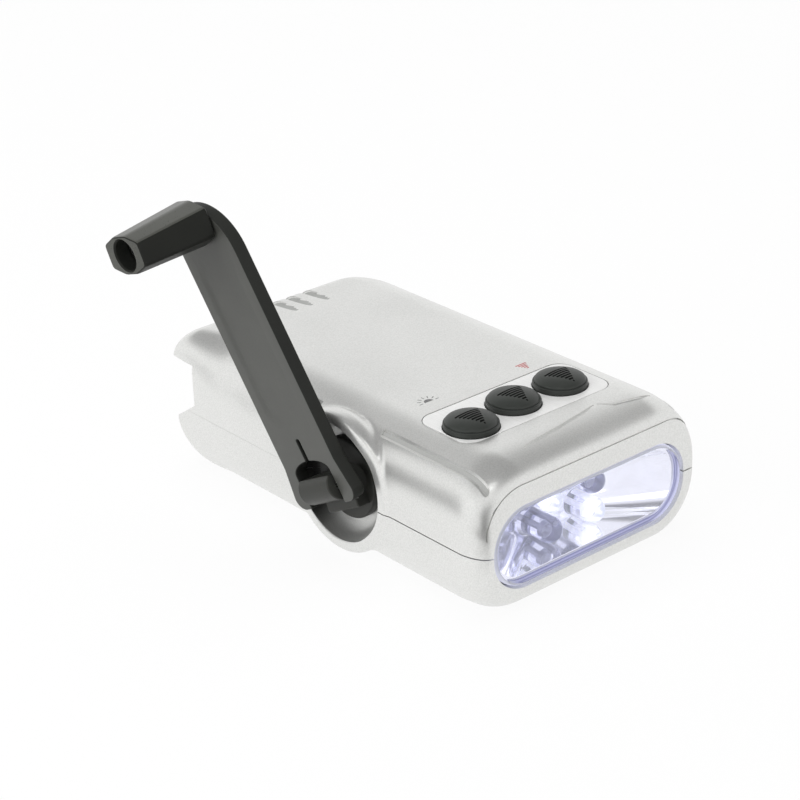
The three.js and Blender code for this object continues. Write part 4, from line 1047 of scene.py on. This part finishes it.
disc_profile = [
    (0, disc_face_x), (disc_flat_radius, disc_face_x), (disc_step_radius, disc_step_x),
    (disc_radius, disc_edge_x), (disc_radius, disc_back_x), (shaft_radius, disc_back_x),
    (shaft_radius, shaft_end_x), (0, shaft_end_x),
]
hub_disc = turned("crank_hub_form", disc_profile, "x", origin, 72)
reach = math.sqrt(tongue_radius**2 - tongue_top**2)
start = math.degrees(math.atan2(tongue_top, -reach))
neck_outline = [(neck_root_x, tongue_top)]
neck_outline += arc(hinge_x, 0, tongue_radius, start, 270, 20)
neck_outline += [(neck_x, -tongue_radius), (neck_x, -neck_drop + neck_edge),
                 (neck_x + neck_edge, -neck_drop), (neck_root_x, -neck_drop)]
neck = soften(prism("hub_neck", neck_outline, "y", -tongue_half, tongue_half), neck_edge, 3, 50)
combine(hub_disc, [neck], "UNION")
pin_low, pin_high = -tongue_half - margin, tongue_half + margin
combine(hub_disc, [rod("pin_way", pin_way_radius, "y", pin_low, pin_high, (hinge_x, 0, 0), 24)])
hub_disc.data.transform(spun_frame)


def moulded_plastic(name, dark, light, rough_low, rough_high, grain_scale, gloss):
    material, tree, shader, place = blank_material(name)
    grain = noise(tree, place, grain_scale, 4.0, 0.6)
    wear = noise(tree, place, 140.0, 3.0)
    coloured(tree, shader, wear, dark, light)
    polished(tree, shader, grain, rough_low, rough_high)
    bump(tree, shader, grain, 0.10, moulded_grain)
    shader.inputs["Specular IOR Level"].default_value = gloss
    return material


black_plastic = moulded_plastic(
    "black_plastic", (0.034, 0.035, 0.031), (0.046, 0.047, 0.042), 0.34, 0.46, 4200.0, 0.22
)
dress(hub_disc, black_plastic)
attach(hub_disc, "crank")
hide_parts("crank_hub")

# Crank arm
# A flat nylon bar. Its lower end is a fork with a keyhole opening, whose slot lets the two ears
# spring over the hinge pin. A shallow channel runs along the outer face.
arm_half, arm_thick, arm_edge = 0.00845, 0.0027, 0.00035
arm_reach, arm_tail = 0.0538, 0.0034
arm_top = arm_reach + arm_tail
foot_half, foot_radius, flare_top = 0.0097, 0.0024, 0.0052
tip_front_radius, tip_rear_radius = 0.011, 0.004
keyhole_half, keyhole_top, keyhole_foot = 0.0056, 0.0057, 0.0033
slot_half, slot_top = 0.00045, 0.0102
channel_width, channel_length, channel_corner, channel_middle = 0.0118, 0.0340, 0.0040, 0.0300
channel_flare, channel_draft, channel_floor, channel_over = 0.0007, 0.0008, 0.00035, 0.0002
ear_radius, ear_gap, ear_bore_reach = 0.0034, 0.00005, 0.0076
spigot_radius, spigot_end_x, pilot_end_x = 0.002, -0.01175, -0.0128
knob_zone = 0.005

arm_outline = arc(foot_half - foot_radius, -arm_tail + foot_radius, foot_radius, -90, 0, 10)
arm_outline += [(arm_half, flare_top)]
for side, radius, start, steps in ((1, tip_rear_radius, 0, 10), (-1, tip_front_radius, 90, 20)):
    middle = side * (arm_half - radius)
    arm_outline += arc(middle, arm_top - radius, radius, start, start + 90, steps)
arm_outline += [(-arm_half, flare_top)]
arm_outline += arc(-foot_half + foot_radius, -arm_tail + foot_radius, foot_radius, 180, 270, 10)
keyhole = [(keyhole_half, -arm_tail - margin)]
for across, up in arc(0, 0, 1, 0, 180, 24):
    keyhole.append((keyhole_half * across, keyhole_foot + (keyhole_top - keyhole_foot) * up))
keyhole.append((-keyhole_half, -arm_tail - margin))
slot = [(-slot_half, 0.0), (slot_half, 0.0)] + arc(0, slot_top - slot_half, slot_half, 0, 180, 8)
arm = combine(
    prism("crank_arm_form", arm_outline, "x", -arm_thick / 2, arm_thick / 2),
    [
        prism("keyhole", keyhole, "x", -arm_thick, arm_thick),
        prism("flex_slot", slot, "x", -arm_thick, arm_thick),
    ],
)
soften(arm, arm_edge, 3, 60)
arm_face_x = -arm_thick / 2
channel_rings = []
for x, grow in (
    (arm_face_x - channel_over, channel_flare), (arm_face_x + channel_floor, -channel_draft)
):
    width, length = channel_width + 2 * grow, channel_length + 2 * grow
    outline = rounded_outline(width, length, channel_corner, (0.0, channel_middle), 10)
    channel_rings.append([(x, a, b) for a, b in outline])
ears = []
for side in (-1, 1):
    low = ear_gap + (keyhole_half if side > 0 else -arm_half)
    high = low + arm_half - keyhole_half - 2 * ear_gap
    ear = rod(f"ear_{side}", ear_radius, "y", low, high, origin, 40)
    trim = box_tool(f"ear_trim_{side}", (-beyond, -beyond, -beyond), (0.0, beyond, beyond))
    ears.append(combine(ear, [trim]))
spigot_centre = (0, 0, arm_reach)
ears.append(rod("spigot", spigot_radius, "x", spigot_end_x, 0.0, spigot_centre, 32))
combine(arm, ears, "UNION")
combine(
    arm,
    [
        lofted("arm_channel", channel_rings),
        rod("ear_bores", pin_way_radius, "y", -ear_bore_reach, ear_bore_reach, origin, 24),
        rod("spigot_pilot", pin_way_radius, "x", pilot_end_x, arm_face_x, spigot_centre, 20),
    ],
)
arm_plastic = moulded_plastic(
    "arm_plastic", (0.022, 0.023, 0.021), (0.030, 0.031, 0.028), 0.40, 0.52, 3600.0, 0.12
)
arm_face_painted_sheen = moulded_plastic(
    "arm_face_painted_sheen", (0.056, 0.058, 0.052), (0.070, 0.072, 0.064), 0.34, 0.44, 3600.0, 0.55
)
dress(arm, arm_plastic)
arm.data.materials.append(arm_face_painted_sheen)
# The outer face takes a lighter, glossier copy of the plastic: a painted sheen where the face
# catches the light
for face in arm.data.polygons:
    below_knob = face.center.z < arm_reach - knob_zone
    if face.normal.x < (-0.85 if below_knob else -0.95):
        face.material_index = 1
arm.data.transform(arm_frame)
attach(arm, "arm")
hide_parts("crank_arm")

# Crank knob
# A tapering oblong sleeve of black nylon with two narrow flats and crowned broad sides. It turns
# on the arm's spigot and is kept by a screw at the bottom of its bore.
knob_gap, knob_length = 0.0003, 0.0155
knob_root_x = -arm_thick / 2 - knob_gap
knob_end_x = knob_root_x - knob_length
knob_roll = math.radians(9.75)
root_half, root_top, end_half, end_top = 0.0061, 0.0044, 0.0055, 0.00365
flat_share, crown_share, knob_rounding = 0.62, 0.34, 0.0007
root_edge, end_edge, end_step, end_step_share = 0.0003, 0.0004, 0.00012, 0.0001
bore_mouth, bore_radius, bore_edge, bore_depth, bore_neck = 0.0032, 0.00295, 0.0003, 0.0052, 0.0021
sheen_out, sheen_end = 0.0033, 0.0002


def knob_ring(x, half, top, shrink=0.0):
    # Eight sides with their corners rounded off
    half, top = half - shrink, top - shrink
    flat, crown = flat_share * top, crown_share * half
    corners = [(-half, -flat), (-half, flat), (-crown, top), (crown, top),
               (half, flat), (half, -flat), (crown, -top), (-crown, -top)]
    points = []
    for i, here in enumerate(corners):
        here = Vector(here)
        before, after = Vector(corners[i - 1]), Vector(corners[(i + 1) % 8])
        start = here + (before - here).normalized() * knob_rounding
        end = here + (after - here).normalized() * knob_rounding
        for step in range(5):
            share = step / 4
            spot = start * (1 - share) ** 2 + here * (2 * share * (1 - share)) + end * share**2
            points.append((x, spot.x, spot.y))
    return points


knob_rings = [
    knob_ring(knob_root_x, root_half, root_top, root_edge),
    knob_ring(knob_root_x - root_edge, root_half, root_top),
    knob_ring(knob_end_x + end_edge, end_half, end_top),
    knob_ring(knob_end_x + end_step, end_half, end_top, end_step_share),
    knob_ring(knob_end_x, end_half, end_top, root_edge),
]
bore_profile = [
    (0, knob_end_x - margin), (bore_mouth, knob_end_x - margin), (bore_mouth, knob_end_x),
    (bore_radius, knob_end_x + bore_edge), (bore_radius, knob_end_x + bore_depth),
    (bore_neck, knob_end_x + bore_depth), (bore_neck, knob_root_x + margin),
    (0, knob_root_x + margin),
]
knob = combine(
    lofted("crank_knob_form", knob_rings), [turned("knob_bore", bore_profile, "x", origin, 48)]
)
knob_plastic = moulded_plastic(
    "knob_plastic", (0.016, 0.017, 0.015), (0.022, 0.023, 0.020), 0.30, 0.40, 4200.0, 0.10
)
knob_painted_sheen = moulded_plastic(
    "knob_painted_sheen", (0.060, 0.062, 0.054), (0.076, 0.078, 0.068), 0.26, 0.36, 4200.0, 0.40
)
dress(knob, knob_plastic, 28)
knob.data.materials.append(knob_painted_sheen)
# The broad side that faces up and the end face take a lighter, glossier copy of the plastic, a
# painted highlight; the darker copy on the other sides is painted shade
for face in knob.data.polygons:
    upper = face.normal.z > 0.6 and math.hypot(face.center.y, face.center.z) > sheen_out
    if upper or face.normal.x < -0.9 and face.center.x < knob_end_x + sheen_end:
        face.material_index = 1
knob_turn = Matrix.Rotation(knob_roll, 4, "X")
knob.data.transform(arm_frame @ Matrix.Translation(spigot_centre) @ knob_turn)
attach(knob, "knob")
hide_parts("crank_knob")

# Works inside the case
# Gears, dynamo, boards, cells and fasteners keep their machined or moulded forms, each with its
# own finish: natural nylon, enamelled wire, laminated steel, solder mask and plated steel.


def finish(name, dark, light, metallic, rough_low, rough_high, scale, stretch=(1.0, 1.0, 1.0)):
    material, tree, shader, place = blank_material(name)
    mapping = tree.nodes.new("ShaderNodeMapping")
    mapping.inputs["Scale"].default_value = stretch
    tree.links.new(place, mapping.inputs["Vector"])
    grain = noise(tree, mapping.outputs["Vector"], scale, 3.0, 0.6)
    coloured(tree, shader, spread(tree, grain), dark, light)
    polished(tree, shader, grain, rough_low, rough_high)
    shader.inputs["Metallic"].default_value = metallic
    bump(tree, shader, grain, 0.08, paint_grain)
    return material


along_x, along_z = (7000.0, 200.0, 200.0), (300.0, 300.0, 4200.0)
finishes = {
    "steel": finish(
        "plated_steel", (0.52, 0.53, 0.55), (0.66, 0.67, 0.68), 1.0, 0.22, 0.36, 1600.0
    ),
    "bronze": finish(
        "sintered_bronze", (0.36, 0.22, 0.10), (0.52, 0.35, 0.17), 0.9, 0.35, 0.5, 2600.0
    ),
    "nylon": finish("natural_nylon", (0.72, 0.70, 0.62), (0.84, 0.82, 0.76), 0.0, 0.38, 0.5, 900.0),
    "board": finish(
        "solder_mask", (0.010, 0.075, 0.030), (0.020, 0.11, 0.045), 0.0, 0.3, 0.42, 700.0
    ),
    "cell": finish("cell_sleeve", (0.03, 0.16, 0.07), (0.05, 0.22, 0.10), 0.0, 0.3, 0.42, 500.0),
    "magnet": finish("ferrite", (0.05, 0.05, 0.055), (0.10, 0.10, 0.105), 0.3, 0.45, 0.6, 1800.0),
    "core": finish(
        "laminations", (0.16, 0.17, 0.18), (0.34, 0.35, 0.37), 0.9, 0.35, 0.5, 1.0, along_x
    ),
    "copper": finish(
        "enamelled_wire", (0.34, 0.11, 0.04), (0.62, 0.25, 0.10), 0.85, 0.25, 0.42, 1.0, along_z
    ),
    "black_plastic": black_plastic,
}
slots = {row["node"]: row["material_slot"] for row in frame["record"]["subparts"]}
for name, obj in frame["nodes"].items():
    if not obj.hide_render and slots.get(name) in finishes:
        obj.data.materials.clear()
        obj.data.materials.append(finishes[slots[name]])

# Floor, light and camera
# A pale sweep under soft light from above and the left, seen from the photo's place.
view_turn = math.radians(-39.7)
floor_half, floor_front, sweep_back, sweep_radius, sweep_top = 1.2, -1.0, 0.55, 0.25, 0.5
side_on = [(floor_front, 0.0), (sweep_back, 0.0)]
for sine, cosine in quarter(12):
    side_on.append((sweep_back + sweep_radius * sine, sweep_radius * (1 - cosine)))
side_on.append((sweep_back + sweep_radius, sweep_top))
count = len(side_on)
floor = new_object(
    "floor",
    [(x, y, z) for x in (-floor_half, floor_half) for y, z in side_on],
    [(i, i + 1, i + 1 + count, i + count) for i in range(count - 1)],
)
floor.data.shade_smooth()
floor.rotation_euler = (0, 0, view_turn)


def larger(tree, one, other):
    node = tree.nodes.new("ShaderNodeMath")
    node.operation = "MAXIMUM"
    tree.links.new(one, node.inputs[0])
    tree.links.new(other, node.inputs[1])
    return node.outputs[0]


material, tree, shader, place = blank_material("pale_floor")
shader.inputs["Base Color"].default_value = (0.95, 0.95, 0.95, 1)
shader.inputs["Roughness"].default_value = 0.9
glow = tree.nodes.new("ShaderNodeEmission")
glow.inputs["Strength"].default_value = 1.0
path = tree.nodes.new("ShaderNodeLightPath").outputs
clear = larger(tree, path["Is Transmission Ray"], path["Is Glossy Ray"])
share = tree.nodes.new("ShaderNodeMath")
share.operation = "MULTIPLY"
share.inputs[1].default_value = 0.92
tree.links.new(larger(tree, path["Is Camera Ray"], clear), share.inputs[0])
mix = tree.nodes.new("ShaderNodeMixShader")
output = next(n for n in tree.nodes if n.type == "OUTPUT_MATERIAL")
tree.links.new(share.outputs[0], mix.inputs[0])
tree.links.new(shader.outputs[0], mix.inputs[1])
tree.links.new(glow.outputs[0], mix.inputs[2])
tree.links.new(mix.outputs[0], output.inputs["Surface"])
floor.data.materials.append(material)

world = bpy.data.worlds.new("studio")
bpy.context.scene.world = world
world.use_nodes = True
tree = world.node_tree
background = next(n for n in tree.nodes if n.type == "BACKGROUND")
background.inputs["Color"].default_value = (1.0, 1.0, 1.0, 1)
way = tree.nodes.new("ShaderNodeTexCoord").outputs["Generated"]
ceiling = ranged(tree, axis_value(tree, way, "Z"), 0.54, 0.80, 1.0, 0.20, eased=True)
path = tree.nodes.new("ShaderNodeLightPath").outputs
walls = tree.nodes.new("ShaderNodeMix")
walls.inputs[2].default_value = 0.32
tree.links.new(larger(tree, path["Is Glossy Ray"], path["Is Transmission Ray"]), walls.inputs[0])
tree.links.new(ceiling, walls.inputs[3])
strength = larger(tree, walls.outputs[0], path["Is Camera Ray"])
tree.links.new(strength, background.inputs["Strength"])

# Dark cards, two upright and one on the floor, are seen by glossy rays alone. They draw the darker
# bands along the shoulder, down the front corner and across the lower side.
material, tree, shader, place = blank_material("dark_card")
coloured(tree, shader, noise(tree, place, 60.0), (0.02, 0.02, 0.02), (0.04, 0.04, 0.04))
shader.inputs["Roughness"].default_value = 0.9
for name, half, run, rise, place, turned_by in (
    ("side_card", 0.027, 0.0, 0.045, (-0.114, 0.053, 0.0), math.radians(47.0)),
    ("camera_card", 0.065, 0.0, 0.105, (-0.170, -0.205, 0.0), view_turn),
    ("floor_card", 0.030, 0.186, 0.0, (-0.170, -0.205, 0.0006), view_turn),
):
    corners = [(-half, 0, 0), (half, 0, 0), (half, run, rise), (-half, run, rise)]
    card = new_object(name, corners, [(0, 1, 2, 3)])
    card.location = place
    card.rotation_euler = (0, 0, turned_by)
    card.data.materials.append(material)
    card.visible_camera = False
    card.visible_diffuse = False
    card.visible_shadow = False
    card.visible_transmission = False


# Soft boxes that all face the middle of the case. Glossy rays see only the one by the camera.
lamp_aim = Vector((0, 0, 0.015))
for name, place, width, height, watts, glossy in (
    ("left_box", (-0.75, 0.05, 0.42), 0.60, 0.60, 3.2, False),
    ("top_box", (0.0, 0.10, 0.85), 0.80, 0.80, 4.2, False),
    ("front_box", (-0.15, -0.85, 0.25), 0.50, 0.35, 0.4, False),
    ("camera_box", (-0.35, -0.42, 0.70), 0.18, 0.18, 0.35, True),
):
    light = bpy.data.lights.new(name, "AREA")
    light.shape = "RECTANGLE"
    light.size, light.size_y = width, height
    light.energy = watts
    holder = bpy.data.objects.new(name, light)
    holder.location = place
    holder.rotation_euler = (lamp_aim - Vector(place)).to_track_quat("-Z", "Y").to_euler()
    holder.visible_glossy = glossy
    bpy.context.scene.collection.objects.link(holder)

# The camera stands where the straight edges of the case in the photo put it
camera = bpy.data.cameras.new("camera")
camera.lens = 100.935
camera.sensor_width = 36.0
camera.sensor_fit = "HORIZONTAL"
camera.clip_start = 0.01
viewer = bpy.data.objects.new("camera", camera)
viewer.location = (-0.252218, -0.296190, 0.204949)
viewer.rotation_euler = [math.radians(turn) for turn in (64.587, 1.864, -40.590)]
bpy.context.scene.collection.objects.link(viewer)
bpy.context.scene.camera = viewer
bpy.context.scene.view_settings.view_transform = "Standard"
